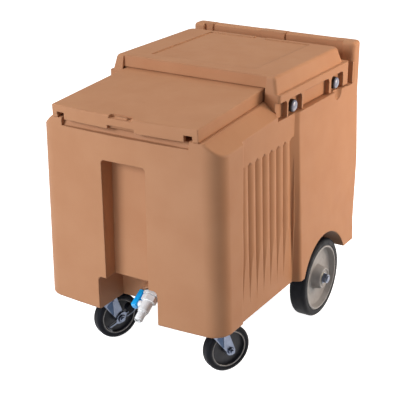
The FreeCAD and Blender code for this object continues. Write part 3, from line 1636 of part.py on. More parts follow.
def along_axle(side, low, high):
    return (low, high) if side > 0 else (f"-({high})", f"-({low})")


def make_brackets():
    screws = []
    for side, hand in ((1, "right"), (-1, "left")):
        bracket = new_body(f"bracket_{hand}")
        toe, half = "bracket_toe_radius", "bracket_half_length"
        web = [
            (f"axle_y - {half}", "tub_bottom_z"),
            (f"axle_y - {half}", "tub_bottom_z - bracket_thickness"),
            (f"axle_y - {toe}", "axle_z"),
            ("axle_y", f"axle_z - {toe}", toe, 1),
            (f"axle_y + {toe}", "axle_z", toe, 1),
            (f"axle_y + {half}", "tub_bottom_z - bracket_thickness"),
            (f"axle_y + {half}", "tub_bottom_z"),
        ]
        sides = along_axle(side, "bracket_x - bracket_thickness", "bracket_x")
        pad(bracket, "web", "YZ_Plane", *sides, [web])
        sides = along_axle(side, "bracket_x - bracket_foot_width", "bracket_x")
        foot = box_outline(*sides, f"axle_y - {half}", f"axle_y + {half}")
        pad(bracket, "foot", "XY_Plane", "tub_bottom_z - bracket_thickness", "tub_bottom_z", [foot])
        bore = ("axle_y", "axle_z", "axle_radius")
        ends = along_axle(side, "bracket_x - bracket_thickness - seat_gap", "bracket_x + seat_gap")
        pocket(bracket, "axle_hole", "YZ_Plane", *ends, circles=[bore])
        x = f"{side} * (bracket_x - bracket_foot_width + bracket_screw_inset)"
        spots = [(x, f"axle_y + {j} * bracket_screw_y") for j in (1, -1)]
        holes = [(*spot, "plate_screw_radius + running_gap") for spot in spots]
        low, high = "tub_bottom_z - bracket_thickness - seat_gap", "tub_bottom_z + seat_gap"
        pocket(bracket, "screw_holes", "XY_Plane", low, high, circles=holes)
        keep(bracket, f"axle_bracket_{hand}")
        for i, spot in enumerate(spots):
            length = "bracket_thickness + plate_screw_length - seat_gap"
            z = "tub_bottom_z - bracket_thickness"
            screws.append(hex_screw(f"bracket_screw_{hand}_{i}", *spot, z, length))
    group("bracket_screws", screws)


def axle_ring(name, side, inner, outer, low, high):
    ends = along_axle(side, low, high)
    return wheel_turned(name, box_outline(*ends, inner, outer), "axle_y", "axle_z")


def rear_core_outline():
    """Half section of the rear wheel core: long hub, dished web and a rim with a raised lip."""
    middle, web = "wheel_centre_x", "wheel_web_half"
    rim_x, outer = "wheel_rim_width / 2", "wheel_tyre_inner_radius"
    rim = f"{outer} - wheel_rim_thickness"
    hub, nose, bore = "wheel_hub_radius", "wheel_hub_nose_radius", "wheel_bush_radius"
    return [
        ("hub_inner_x", bore),
        ("hub_outer_x", bore),
        ("hub_outer_x", nose),
        (f"hub_outer_x - ({hub} - {nose})", hub),
        (f"{middle} + {web}", hub),
        (f"{middle} + {web}", rim),
        (f"{middle} + {rim_x}", rim),
        (f"{middle} + {rim_x}", outer),
        (f"{middle} - {rim_x}", outer),
        (f"{middle} - {rim_x}", rim),
        (f"{middle} - {web}", rim),
        (f"{middle} - {web}", hub),
        ("hub_inner_x", hub),
    ]


def flipped(points, side):
    return points if side > 0 else other_side(points)


def flanged_bushes(hand, side):
    """A bush pressed into each end of the hub."""
    bore, outer, flange = "axle_radius + running_gap", "wheel_bush_radius", "wheel_bush_flange_radius"
    bushes = []
    for end, sign in (("hub_outer_x", 1), ("hub_inner_x", -1)):
        lip = f"{end} + {sign} * wheel_bush_flange"
        tip = f"{end} - {sign} * wheel_bush_length"
        outline = [(tip, bore), (lip, bore), (lip, flange), (end, flange), (end, outer), (tip, outer)]
        name = f"wheel_bush_{hand}_{sign + 1}"
        bushes.append(wheel_turned(name, flipped(outline, side), "axle_y", "axle_z"))
    group(f"wheel_bushes_{hand}", bushes)


def make_rear_wheels():
    make_brackets()
    end = "(axle_nut_x + axle_nut + axle_end)"
    axle = new_body("axle")
    pad(axle, "rod", "YZ_Plane", f"-{end}", end, circles=[("axle_y", "axle_z", "axle_radius")])
    keep(axle, "rear_axle")
    spacers, washers, nuts = [], [], []
    for side, hand in ((1, "right"), (-1, "left")):
        core = flipped(rear_core_outline(), side)
        keep(wheel_turned(f"rear_core_{hand}", core, "axle_y", "axle_z"), f"rear_wheel_{hand}")
        half, inner = "wheel_width / 2", "wheel_tyre_inner_radius"
        tread = tyre_outline(half, inner, "wheel_radius", "wheel_tyre_round")
        shifted = [(f"{side} * wheel_centre_x + {p[0]}", *p[1:]) for p in tread]
        keep(wheel_turned(f"rear_tread_{hand}", shifted, "axle_y", "axle_z"), f"rear_tyre_{hand}")
        flanged_bushes(hand, side)
        inner_end = "hub_inner_x - wheel_bush_flange - seat_gap"
        spacers.append(
            axle_ring(f"spacer_{hand}", side, "axle_radius", "spacer_radius", "bracket_x", inner_end)
        )
        washers.append(
            axle_ring(
                f"washer_{hand}",
                side,
                "axle_radius",
                "axle_washer_radius",
                "axle_nut_x - axle_washer",
                "axle_nut_x",
            )
        )
        nut = new_body(f"axle_nut_{hand}")
        ends = along_axle(side, "axle_nut_x", "axle_nut_x + axle_nut")
        hexagonal = [(f"axle_y + {p[0]}", f"axle_z + {p[1]}") for p in hexagon("axle_nut_across")]
        pad(nut, "hex", "YZ_Plane", *ends, [hexagonal])
        bore = ("axle_y", "axle_z", "axle_radius")
        pocket(nut, "bore", "YZ_Plane", *ends, circles=[bore])
        nuts.append(nut)
    group("axle_spacers", spacers)
    group("axle_washers", washers)
    group("rear_axle_nuts", nuts)


fill_sheet()
make_tub()
make_lid()
make_cover()
make_knobs()
make_drain()
make_valve()
make_valve_inside()
make_lever()
make_hose_tail()
make_shelf()
make_casters()
make_rear_wheels()
doc.recompute()

for thing in doc.Objects:
    if "Invalid" in thing.State or "Error" in thing.State:
        raise SystemExit(f"{thing.Label} failed: {thing.State}")
os.makedirs("parts", exist_ok=True)
for piece in pieces:
    shape = piece.Shape
    if shape.isNull() or not shape.isValid():
        raise SystemExit(f"{piece.Label} has no valid shape")
    shape.exportStep(f"parts/{piece.Label}.step")
    print(f"{piece.Label}: {len(shape.Solids)} solids, {shape.Volume / 1000:.1f} cm3")
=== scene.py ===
import json
import math

import bmesh
import bpy
from mathutils import Matrix, Vector


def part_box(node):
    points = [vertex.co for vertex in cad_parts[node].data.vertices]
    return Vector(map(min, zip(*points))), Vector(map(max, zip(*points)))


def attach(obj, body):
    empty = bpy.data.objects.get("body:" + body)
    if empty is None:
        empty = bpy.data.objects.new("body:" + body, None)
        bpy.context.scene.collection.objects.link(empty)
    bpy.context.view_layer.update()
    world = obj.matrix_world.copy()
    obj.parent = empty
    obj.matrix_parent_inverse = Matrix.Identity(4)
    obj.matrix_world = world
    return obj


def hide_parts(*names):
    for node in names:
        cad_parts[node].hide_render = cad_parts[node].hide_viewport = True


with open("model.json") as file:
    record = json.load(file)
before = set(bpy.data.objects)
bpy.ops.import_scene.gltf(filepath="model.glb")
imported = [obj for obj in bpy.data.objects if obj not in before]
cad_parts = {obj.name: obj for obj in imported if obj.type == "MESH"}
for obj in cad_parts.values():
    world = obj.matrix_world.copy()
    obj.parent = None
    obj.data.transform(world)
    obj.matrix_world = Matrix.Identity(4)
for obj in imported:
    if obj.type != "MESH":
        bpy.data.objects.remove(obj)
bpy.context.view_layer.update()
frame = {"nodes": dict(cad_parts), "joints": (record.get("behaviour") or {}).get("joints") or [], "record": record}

# Sizes and places are written in millimetres, and MM turns them into Blender's metres.
MM = 0.001
SIDES = {"right": 1, "left": -1}

# Finishes


def linear(hex_colour):
    """A hex sRGB colour as the linear colour that Blender's sockets hold."""
    channels = [int(hex_colour[i : i + 2], 16) / 255 for i in (1, 3, 5)]
    return tuple(c / 12.92 if c <= 0.04045 else ((c + 0.055) / 1.055) ** 2.4 for c in channels) + (1.0,)


def add_node(tree, kind, settings=(), inputs=()):
    """Adds a node, sets its properties and sockets, and links any input given as a socket."""
    node = tree.nodes.new(f"ShaderNode{kind}")
    for name, setting in dict(settings).items():
        setattr(node, name, setting)
    for name, source in dict(inputs).items():
        if isinstance(source, bpy.types.NodeSocket):
            tree.links.new(source, node.inputs[name])
        else:
            node.inputs[name].default_value = source
    return node


def start_material(name, **sockets):
    """A material with its shader's own sockets set, and the place on the piece that its patterns follow."""
    material = bpy.data.materials.new(name)
    material.use_nodes = True
    tree = material.node_tree
    shader = tree.nodes["Principled BSDF"]
    for socket, amount in sockets.items():
        shader.inputs[socket.replace("_", " ")].default_value = amount
    where = add_node(tree, "TexCoord").outputs["Object"]
    return material, tree, shader, where


def per_metre(size_mm):
    """A pattern's scale from the real size of one repeat."""
    return 1 / (size_mm * MM)


def mottled(tree, where, patch_mm, low, high):
    """Colour that drifts between two shades over patches of a real size."""
    noise = add_node(tree, "TexNoise", inputs={"Vector": where, "Scale": per_metre(patch_mm), "Detail": 3.0})
    ramp = add_node(tree, "ValToRGB", inputs={"Fac": noise.outputs["Fac"]})
    ramp.color_ramp.elements[0].position = 0.35
    ramp.color_ramp.elements[1].position = 0.65
    ramp.color_ramp.elements[0].color = linear(low)
    ramp.color_ramp.elements[1].color = linear(high)
    return ramp.outputs["Color"]


def roughness_drift(tree, shader, where, patch_mm, low, high):
    """Roughness that drifts between two values over patches of a real size."""
    noise = add_node(tree, "TexNoise", inputs={"Vector": where, "Scale": per_metre(patch_mm), "Detail": 2.0})
    spread = {"Value": noise.outputs["Fac"], "From Min": 0.3, "From Max": 0.7, "To Min": low, "To Max": high}
    drift = add_node(tree, "MapRange", inputs=spread)
    tree.links.new(drift.outputs["Result"], shader.inputs["Roughness"])


def grained(tree, shader, where, grain_mm, height_mm, strength, edge_mm):
    """A raised grain of a real size and height, over edges softened by the mould or the press."""
    soft_edge = add_node(tree, "Bevel", {"samples": 6}, {"Radius": edge_mm * MM})
    noise = add_node(tree, "TexNoise", inputs={"Vector": where, "Scale": per_metre(grain_mm), "Detail": 2.0})
    relief = {"Strength": strength, "Distance": height_mm * MM, "Height": noise.outputs["Fac"]}
    relief["Normal"] = soft_edge.outputs["Normal"]
    bump = add_node(tree, "Bump", inputs=relief)
    tree.links.new(bump.outputs["Normal"], shader.inputs["Normal"])


def surface(
    name, shades, patch_mm, roughness, drift_mm, grain_mm, height_mm, strength, edge_mm=0.6, **sockets
):
    """A finish whose colour and roughness drift, with a raised grain. Even amounts are the shader's own."""
    material, tree, shader, where = start_material(name, **sockets)
    tree.links.new(mottled(tree, where, patch_mm, *shades), shader.inputs["Base Color"])
    roughness_drift(tree, shader, where, drift_mm, *roughness)
    grained(tree, shader, where, grain_mm, height_mm, strength, edge_mm)
    return material


def rotomoulded_polyethylene():
    """Tan rotation-moulded polyethylene: satin, with a faint orange peel from the mould's wall."""
    return surface(
        "rotomoulded_polyethylene_tan",
        shades=("#ba8561", "#be8a66"),
        patch_mm=90,
        roughness=(0.46, 0.54),
        drift_mm=35,
        grain_mm=2.2,
        height_mm=0.10,
        strength=0.35,
        edge_mm=4.0,
        IOR=1.44,
        Specular_IOR_Level=0.12,
    )


def moulded_plastic(name, low, high, roughness, grain_mm, height_mm, ior):
    """Injection-moulded plastic: nearly even colour, with the mould's grain drawn coarse enough to show."""
    return surface(
        name,
        shades=(low, high),
        patch_mm=25,
        roughness=(roughness - 0.04, roughness + 0.04),
        drift_mm=12,
        grain_mm=grain_mm,
        height_mm=height_mm,
        strength=0.4,
        IOR=ior,
    )


def solid_rubber():
    """Solid black rubber with a bluish sheen: matt, with dusty patches."""
    return surface(
        "solid_rubber_black",
        shades=("#08090f", "#0f1119"),
        patch_mm=30,
        roughness=(0.46, 0.6),
        drift_mm=18,
        grain_mm=0.9,
        height_mm=0.05,
        strength=0.5,
        IOR=1.52,
        Specular_IOR_Level=0.1,
    )


def zinc_plate():
    """Bright zinc on pressed steel: cool grey, with soft cloudy reflections."""
    return surface(
        "zinc_plated_steel",
        shades=("#666d7d", "#717989"),
        patch_mm=14,
        roughness=(0.3, 0.38),
        drift_mm=14,
        grain_mm=0.6,
        height_mm=0.02,
        strength=0.4,
        Metallic=1.0,
    )


def zinc_painted_shade():
    """Zinc painted darker and bluer as painted shade, for the folded flange of a fork leg where it turns from the
    light: cool and dim.
    """
    return surface(
        "zinc_blue_in_painted_shade",
        shades=("#344054", "#3d4a5f"),
        patch_mm=14,
        roughness=(0.34, 0.42),
        drift_mm=14,
        grain_mm=0.6,
        height_mm=0.02,
        strength=0.4,
        Metallic=1.0,
    )


def black_coated_steel():
    """Black powder coat on pressed steel: fine orange peel and a soft gloss."""
    return surface(
        "powder_coated_steel_black",
        shades=("#1a1b20", "#25262d"),
        patch_mm=15,
        roughness=(0.34, 0.46),
        drift_mm=8,
        grain_mm=0.8,
        height_mm=0.04,
        strength=0.5,
        IOR=1.5,
    )


def machined_brass():
    """Turned brass: warm yellow metal, with its fine tool marks drawn coarse enough to show."""
    return surface(
        "machined_brass",
        shades=("#b08d4a", "#c4a05a"),
        patch_mm=6,
        roughness=(0.22, 0.34),
        drift_mm=3,
        grain_mm=0.4,
        height_mm=0.02,
        strength=0.4,
        Metallic=1.0,
    )


FINISHES = {
    "tan_polyethylene": rotomoulded_polyethylene(),
    # The drain shelf: milky and dull, with a coarse grain
    "white_polyethylene": moulded_plastic(
        "polyethylene_white", "#dcdcd6", "#e4e4df",
        roughness=0.45, grain_mm=1.5, height_mm=0.05, ior=1.51,
    ),
    # The valve, its locknut and its hose tail: clean white with a soft gloss
    "white_plastic": moulded_plastic(
        "pvc_white", "#f3f4f4", "#fafafa",
        roughness=0.26, grain_mm=0.8, height_mm=0.02, ior=1.53,
    ),
    # The ball's seats: waxy white
    "seat_plastic": moulded_plastic(
        "ptfe_white", "#deded8", "#e8e8e2",
        roughness=0.5, grain_mm=0.8, height_mm=0.02, ior=1.38,
    ),
    # The wheels' bushes: the cream of undyed nylon
    "bush_plastic": moulded_plastic(
        "nylon_natural", "#cfc9b8", "#d9d3c3",
        roughness=0.42, grain_mm=0.8, height_mm=0.02, ior=1.53,
    ),
    # The valve's lever: strong sky blue with a soft gloss
    "blue_plastic": moulded_plastic(
        "abs_blue", "#12b0ff", "#1cbcff",
        roughness=0.3, grain_mm=0.9, height_mm=0.03, ior=1.53,
    ),
    # The cover's knobs: black with a dull face
    "black_plastic": moulded_plastic(
        "nylon_black", "#15161b", "#1f2026",
        roughness=0.46, grain_mm=0.8, height_mm=0.04, ior=1.4,
    ),
    # The rear wheels' cores: warm mid grey
    "grey_plastic": moulded_plastic(
        "polypropylene_grey", "#8c8886", "#979391",
        roughness=0.42, grain_mm=0.9, height_mm=0.03, ior=1.49,
    ),
    # The casters' cores: almost black, and dull
    "dark_grey_plastic": moulded_plastic(
        "polypropylene_dark_grey", "#26272c", "#2f3036",
        roughness=0.46, grain_mm=0.9, height_mm=0.03, ior=1.36,
    ),
    "black_rubber": solid_rubber(),
    "zinc_steel": zinc_plate(),
    "dark_steel": black_coated_steel(),
    "brass": machined_brass(),
    "zinc_painted_shade": zinc_painted_shade(),
    # The knobs' caps: pale slate blue as a painted highlight on the dark knobs' domes, polished, so that each dome
    # catches the light
    "cap_painted_highlight": moulded_plastic(
        "abs_slate_painted_highlight", "#80849a", "#8c90a6",
        roughness=0.24, grain_mm=0.9, height_mm=0.02, ior=1.55,
    ),
    # Rims and rings beside the tyres: a painted highlight, a little paler and glossier than the cores
    "rim_painted_highlight": moulded_plastic(
        "polypropylene_grey_painted_highlight", "#8f8b89", "#9a9694",
        roughness=0.36, grain_mm=0.9, height_mm=0.02, ior=1.49,
    ),
}

CAD_SHARP_DEG, PIECE_SHARP_DEG = 30, 32
HOLE_STEPS = 32


def finish_cad_nodes():
    """Gives each solid the material of its slot in the record."""
    slots = {row["node"]: row["material_slot"] for row in frame["record"]["subparts"]}
    for name, piece in frame["nodes"].items():
        piece.data.materials.clear()
        piece.data.materials.append(FINISHES[slots[name]])


def smooth_cad_nodes():
    """Shades round faces smoothly and keeps real edges sharp."""
    for piece in frame["nodes"].values():
        for polygon in piece.data.polygons:
            polygon.use_smooth = True
        piece.data.set_sharp_from_angle(angle=math.radians(CAD_SHARP_DEG))


# Ways to make a piece. Each takes the piece's name, the body it rides on, its finish and its local frame.


def finish_piece(thing, name, body, finish, place):
    """Names a piece, paints it, puts it in its place and lets it ride on its body."""
    thing.name = name
    thing.data.materials.append(FINISHES[finish])
    thing.matrix_world = place
    bpy.context.scene.collection.objects.link(thing)
    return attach(thing, body)


def mesh_piece(form, name, body, finish, place, edge=0.0):
    """One mesh from a bmesh in metres, smooth across its round faces, with its edges eased."""
    bmesh.ops.recalc_face_normals(form, faces=form.faces)
    mesh = bpy.data.meshes.new(name)
    form.to_mesh(mesh)
    form.free()
    for polygon in mesh.polygons:
        polygon.use_smooth = True
    mesh.set_sharp_from_angle(angle=math.radians(PIECE_SHARP_DEG))
    thing = finish_piece(bpy.data.objects.new(name, mesh), name, body, finish, place)
    if edge:
        eased = thing.modifiers.new("eased_edges", "BEVEL")
        eased.width = edge * MM
        eased.segments = 3
        eased.limit_method = "ANGLE"
    return thing


def closed_loop(form, points):
    """The corners and edges of a closed loop through points."""
    corners = [form.verts.new([c * MM for c in point]) for point in points]
    return corners, [form.edges.new(pair) for pair in zip(corners, corners[1:] + corners[:1])]


def turned(name, body, finish, place, section, steps=72):
    """A closed half section of (along, radius) points, turned about the local X axis."""
    form = bmesh.new()
    corners, edges = closed_loop(form, [(along, radius, 0) for along, radius in section])
    bmesh.ops.spin(
        form,
        geom=corners + edges,
        cent=(0, 0, 0),
        axis=(1, 0, 0),
        angle=math.tau,
        steps=steps,
        use_merge=True,
    )
    return mesh_piece(form, name, body, finish, place)


def pressed(name, body, finish, place, outline, low, high, edge, hole_radius=0.0):
    """A plate outlined in the local YZ plane, between two places along X, maybe with a round hole."""
    form = bmesh.new()
    loops = [outline]
    if hole_radius:
        turns = [math.tau * i / HOLE_STEPS for i in range(HOLE_STEPS)]
        loops.append([(hole_radius * math.cos(turn), hole_radius * math.sin(turn)) for turn in turns])
    edges = []
    for loop in loops:
        edges += closed_loop(form, [(low, y, z) for y, z in loop])[1]
    faces = bmesh.ops.triangle_fill(form, edges=edges, use_dissolve=True)["geom"]
    faces = [face for face in faces if isinstance(face, bmesh.types.BMFace)]
    raised = bmesh.ops.extrude_face_region(form, geom=faces)["geom"]
    raised = [corner for corner in raised if isinstance(corner, bmesh.types.BMVert)]
    bmesh.ops.translate(form, verts=raised, vec=((high - low) * MM, 0, 0))
    return mesh_piece(form, name, body, finish, place, edge)


def lofted(name, body, finish, place, rings):
    """A skin over rings of points, closed at both ends."""
    form = bmesh.new()
    loops = [[form.verts.new([c * MM for c in point]) for point in ring] for ring in rings]
    for near, far in zip(loops, loops[1:]):
        for i, corner in enumerate(near):
            after = (i + 1) % len(near)
            form.faces.new((corner, near[after], far[after], far[i]))
    form.faces.new(loops[0])
    form.faces.new(loops[-1])
    return mesh_piece(form, name, body, finish, place)


def bent_rod(name, body, finish, place, points, radius):
    """A round bent rod along points."""
    curve = bpy.data.curves.new(name, "CURVE")
    curve.dimensions = "3D"
    curve.bevel_depth = radius * MM
    curve.bevel_resolution = 4
    curve.use_fill_caps = True
    line = curve.splines.new("NURBS")
    line.points.add(len(points) - 1)
    for point, at in zip(line.points, points):
        point.co = (*(c * MM for c in at), 1)
    line.order_u = 3
    line.use_endpoint_u = True
    return finish_piece(bpy.data.objects.new(name, curve), name, body, finish, place)


# Places worked out from the frame


def node_box(node):
    """A node's lowest and highest corners, in millimetres."""
    low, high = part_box(node)
    return low / MM, high / MM


def across(node):
    """How near to the bin's middle plane a node starts, and how far out it reaches."""
    return sorted(abs(corner.x) for corner in node_box(node))


def joint_named(name):
    """A joint's row in the frame, with its place and its axis."""
    return next(joint for joint in frame["joints"] if joint["name"] == name)


def outward(side, y, z):
    """A local frame on the bin's middle plane, with its X axis pointing out of one side."""
    return Matrix.Translation((0, y * MM, z * MM)) @ Matrix.Rotation(0 if side > 0 else math.pi, 4, "Z")


def caster_axle(hand):
    """A local frame at the middle of a caster wheel: X along the axle, Y towards the rear, Z up."""
    joint = joint_named(f"caster_{hand}_roll")
    along, up = Vector(joint["axis"]), Vector((0, 0, 1))
    turn = Matrix((along, up.cross(along), up)).transposed().to_4x4()
    return Matrix.Translation(joint["pos_m"]) @ turn


# Rear cover. Each level is measured down from the cover's top, in from its side, and back from its front.

FASCIA_LEVELS = ((31.4, 16.7, 7), (7.7, 22.2, 9.8), (1.6, 27, 11))
FASCIA_BEHIND_FRONT, FASCIA_BACK_BEHIND_FRONT = 9.6, 15
CORNER_WIDTH = 42


def dress_cover():
    """The cover's fascia wall over the lid, with the inner sides of the cover's two front corners."""
    low, high = node_box("rear_cover")
    wall_y, back_y = low.y + FASCIA_BEHIND_FRONT, low.y + FASCIA_BACK_BEHIND_FRONT
    corner_x = high.x - CORNER_WIDTH
    rings = []
    for down, inset, behind in FASCIA_LEVELS:
        side_x, corner_y = high.x - inset, low.y + behind
        right = [(side_x, back_y), (side_x, corner_y), (corner_x, corner_y), (corner_x, wall_y)]
        left = [(-x, y) for x, y in reversed(right)]
        rings.append([(x, y, high.z - down) for x, y in right + left])
    lofted("cover_fascia_wall", "tub", "tan_polyethylene", Matrix(), rings)


# Push handle. The two grips span its hand windows, which lie at these distances from the bin's middle.

GRIP_INNER_X, GRIP_OUTER_X = 37.5, 198.5
GRIP_DEPTH, GRIP_HEIGHT, GRIP_EDGE_RADIUS, GRIP_EDGE_STEPS = 30.8, 26.8, 11, 6
GRIP_BELOW_TOP, GRIP_BEFORE_REAR = 0.2, 0.3
GRIP_END_LENGTH, GRIP_END_SHRINK = 2, 0.6


def grip_ring(x, shrink, rear, top):
    """The grip's section across its length: soft at the top, flat where it meets the moulded bar."""
    front, low = rear - GRIP_DEPTH + shrink, top - GRIP_HEIGHT
    rear, top = rear - shrink, top - shrink
    ring = [(x, front, low)]
    for middle_y, start in ((front + GRIP_EDGE_RADIUS, math.pi), (rear - GRIP_EDGE_RADIUS, math.pi / 2)):
        for step in range(GRIP_EDGE_STEPS + 1):
            turn = start - math.pi / 2 * step / GRIP_EDGE_STEPS
            y = middle_y + GRIP_EDGE_RADIUS * math.cos(turn)
            z = top - GRIP_EDGE_RADIUS + GRIP_EDGE_RADIUS * math.sin(turn)
            ring.append((x, y, z))
    return ring + [(x, rear, low)]


def dress_handle():
    """The two rounded grips of the push handle, level with its ends and its middle."""
    high = node_box("insulated_tub")[1]
    rear, top = high.y - GRIP_BEFORE_REAR, high.z - GRIP_BELOW_TOP
    ends = (
        (GRIP_INNER_X, GRIP_END_SHRINK),
        (GRIP_INNER_X + GRIP_END_LENGTH, 0),
        (GRIP_OUTER_X - GRIP_END_LENGTH, 0),
        (GRIP_OUTER_X, GRIP_END_SHRINK),
    )
    for hand, side in SIDES.items():
        rings = [grip_ring(side * x, shrink, rear, top) for x, shrink in ends]
        lofted(f"handle_grip_{hand}", "tub", "tan_polyethylene", Matrix(), rings)


# Rear wheels. Half sections are (out from the hub's face, radius).

WHEEL_DISH = [(-22.5, 30), (-21.6, 78), (-19, 82.5), (-9, 86), (-6.4, 86.8), (-7, 88), (-24, 88)]
WHEEL_BEAD = [(-7.5, 87), (-5.4, 86.6), (-4.2, 87.4), (-3.8, 89), (-4.2, 90.6), (-5.4, 91.6), (-7.5, 92)]
WHEEL_HUB = [
    (-22.4, 25), (-22.4, 38.5), (-20.8, 35.5), (-18, 34), (-1, 30.2), (2.2, 29.4), (3.6, 28.4),
    (4, 27), (3.6, 25.6), (1.6, 24.2), (0.4, 22.6), (0.4, 18), (-5, 18),
]


def dress_rear_wheels():
    """Rim bead, painted a little paler as a painted highlight, dished web and the flared hub with its recessed
    end.
    """
    for hand, side in SIDES.items():
        axle = Vector(joint_named(f"wheel_{hand}_roll")["pos_m"]) / MM
        hub_face = across(f"rear_wheel_{hand}")[1]
        for piece, finish, section, steps in (
            ("dish", "grey_plastic", WHEEL_DISH, 96),
            ("highlight_rim_bead", "rim_painted_highlight", WHEEL_BEAD, 96),
            ("hub_flare", "grey_plastic", WHEEL_HUB, 72),
        ):
            section = [(hub_face + out, radius) for out, radius in section]
            place = outward(side, axle.y, axle.z)
            turned(f"wheel_{piece}_{hand}", f"wheel_{hand}", finish, place, section, steps)


# Casters. The ring is a painted highlight on the core's lip; its half section is (out from the wheel's middle,
# radius).
# A leg's pressings are outlined as (back, up) from the axle.

LEG_FACE = 25
CASTER_RING = [(13, 46.4), (14.6, 46.2), (15.2, 47), (15.2, 48), (14.6, 48.8), (13, 48.6)]
LEG_RIB = [(-24, 56), (-19, 56), (-17, 16), (-18, 12), (-21, 15)]
# The flange plate's outline: a thin sheet in painted shade over the leg's folded flange
LEG_SHADE_FLANGE = [(-41.5, 42.5), (-36, 50), (-24.5, 56), (-21.5, 15.5), (-23, 12)]
RIB_SUNK, RIB_THICKNESS, RIB_EDGE = 1, 3.2, 0.8
FLANGE_SUNK, FLANGE_THICKNESS, FLANGE_EDGE = 0.3, 0.7, 0.15


def on_leg(side, sunk, thickness):
    """Between which places along the axle a pressing lies that is sunk a little into a leg's outer face."""
    return sorted(side * (LEG_FACE - sunk + depth) for depth in (0, thickness))


def dress_casters():
    """A ring painted pale as a painted highlight on each face of the core, a pressed rib, and a flange plate
    painted in shade down each leg.
    """
    for hand in SIDES:
        place = caster_axle(hand)
        fork = f"fork_{hand}"
        # Each ring is a painted highlight: pale grey on the dark core's lip
        for face, turn in (("a", 0), ("b", math.pi)):
            ring_place = place @ Matrix.Rotation(turn, 4, "Z")
            turned(f"caster_highlight_ring_{hand}_{face}", f"caster_{hand}", "rim_painted_highlight", ring_place, CASTER_RING)
        for face, side in (("a", 1), ("b", -1)):
            low, high = on_leg(side, RIB_SUNK, RIB_THICKNESS)
            pressed(f"fork_rib_{hand}_{face}", fork, "zinc_steel", place, LEG_RIB, low, high, RIB_EDGE)
        # Each flange plate is painted shade: a darker, bluer copy of the zinc where the leg folds away from the
        # light
        for face, side in (("a", 1), ("b", -1)):
            low, high = on_leg(side, FLANGE_SUNK, FLANGE_THICKNESS)
            name = f"fork_flange_{hand}_{face}"
            pressed(name, fork, "zinc_painted_shade", place, LEG_SHADE_FLANGE, low, high, FLANGE_EDGE)


# Foot brake, in the left caster's local frame. Outlines are (back, up) from the axle.

BRAKE_FACE = LEG_FACE + 3.4
ROCKER = [
    (-17, -9), (-15, -1), (-9, 10), (-1, 16), (9, 18), (17, 13),
    (17, 7), (12, -2), (6, -11), (-6, -14), (-13, -13),
]
ROCKER_THICKNESS, ROCKER_EDGE, ROCKER_HOLE_RADIUS = 1.6, 0.5, 11
STRIP = [(-14, -12), (-13, -7.5), (-24, -11.5), (-37, -16.5), (-41, -20), (-38, -21), (-25, -16)]
STRIP_THICKNESS, STRIP_EDGE = 1.4, 0.4
SPRING_ROD = [(14, 13), (24, 17.5), (34, 22), (39, 22), (41, 17), (37, 12.5), (27, 8.5), (15, 3.5)]
SPRING_ROD_OUT, SPRING_ROD_RADIUS = 3, 2


def dress_brake():
    """Zinc rocker, its strip and the bent spring rod of the foot brake."""
    place = caster_axle("left")
    outer, hole = BRAKE_FACE + ROCKER_THICKNESS, ROCKER_HOLE_RADIUS
    pressed("brake_rocker", "brake", "zinc_steel", place, ROCKER, BRAKE_FACE, outer, ROCKER_EDGE, hole)
    outer = BRAKE_FACE + STRIP_THICKNESS
    pressed("brake_strip", "brake", "zinc_steel", place, STRIP, BRAKE_FACE, outer, STRIP_EDGE)
    rod = [(BRAKE_FACE + SPRING_ROD_OUT, y, z) for y, z in SPRING_ROD]
    bent_rod("brake_spring_rod", "brake", "zinc_steel", place, rod, SPRING_ROD_RADIUS)


# Knobs

CAP_RADIUS, CAP_SIDE, CAP_RISE, CAP_STEPS = 14.6, 3.2, 5, 8


def dress_knobs():
    """Domed glossy caps, painted pale as a painted highlight, that stand for the knobs' flat ones."""
    for hand, side in SIDES.items():
        for row in ("front", "rear"):
            cap = f"knob_cap_{hand}_{row}"
            low, high = node_box(cap)
            seat = across(cap)[0]
            dome = [(seat, 0), (seat, CAP_RADIUS), (seat + CAP_SIDE, CAP_RADIUS)]
            for step in range(1, CAP_STEPS + 1):
                turn = math.pi / 2 * step / CAP_STEPS
                dome.append((seat + CAP_SIDE + CAP_RISE * math.sin(turn), CAP_RADIUS * math.cos(turn)))
            place = outward(side, (low.y + high.y) / 2, (low.z + high.z) / 2)
            name, body = f"knob_dome_{hand}_{row}", f"knob_{hand}_{row}"
            piece = turned(name, body, "cap_painted_highlight", place, dome, steps=48)
            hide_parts(cap)


# Drain. Its local frame starts at the drain's seat on the tub.
# X lies along the valve's stem, and Z points down the flow.

FLOW_TURN_DEG = 124
STEM_ALONG_FLOW = 40

# The lever's inner face, and its rings: (outer face, step out of the inner face, half width,
# place along the flow, corner radius)
LEVER_INNER_X = -23.3
LEVER_RINGS = (
    (-35, 1.5, 7.4, 3.6, 2),
    (-36.5, 0, 8.8, 5, 2.4),
    (-37, 0, 9.2, 20, 2.4),
    (-38, 0, 9.6, 40, 2.4),
    (-38.5, 0, 9.8, 50, 2.4),
    (-37.5, 1, 8.8, 52.6, 2.4),
    (-36, 2.5, 7, 53.6, 2),
)
LEVER_CORNER_STEPS = 4

# One thread ring's half section as (along the flow, radius)
THREAD_RING = [(0, 9.5), (0.3, 10.8), (1.2, 11.6), (2.1, 10.8), (2.4, 9.5)]
THREAD_START, THREAD_PITCH, THREAD_COUNT = 63.5, 4.4, 5


def rounded(x_low, x_high, y_half, z, radius):
    """A rounded rectangle of points across the local Z axis."""
    points = []
    corners = ((x_high, y_half), (x_low, y_half), (x_low, -y_half), (x_high, -y_half))
    for quarter, (x, y) in enumerate(corners):
        inner_x = x - radius if x == x_high else x + radius
        inner_y = y - radius if y > 0 else y + radius
        for step in range(LEVER_CORNER_STEPS + 1):
            turn = math.pi / 2 * (quarter + step / LEVER_CORNER_STEPS)
            points.append((inner_x + radius * math.cos(turn), inner_y + radius * math.sin(turn), z))
    return points


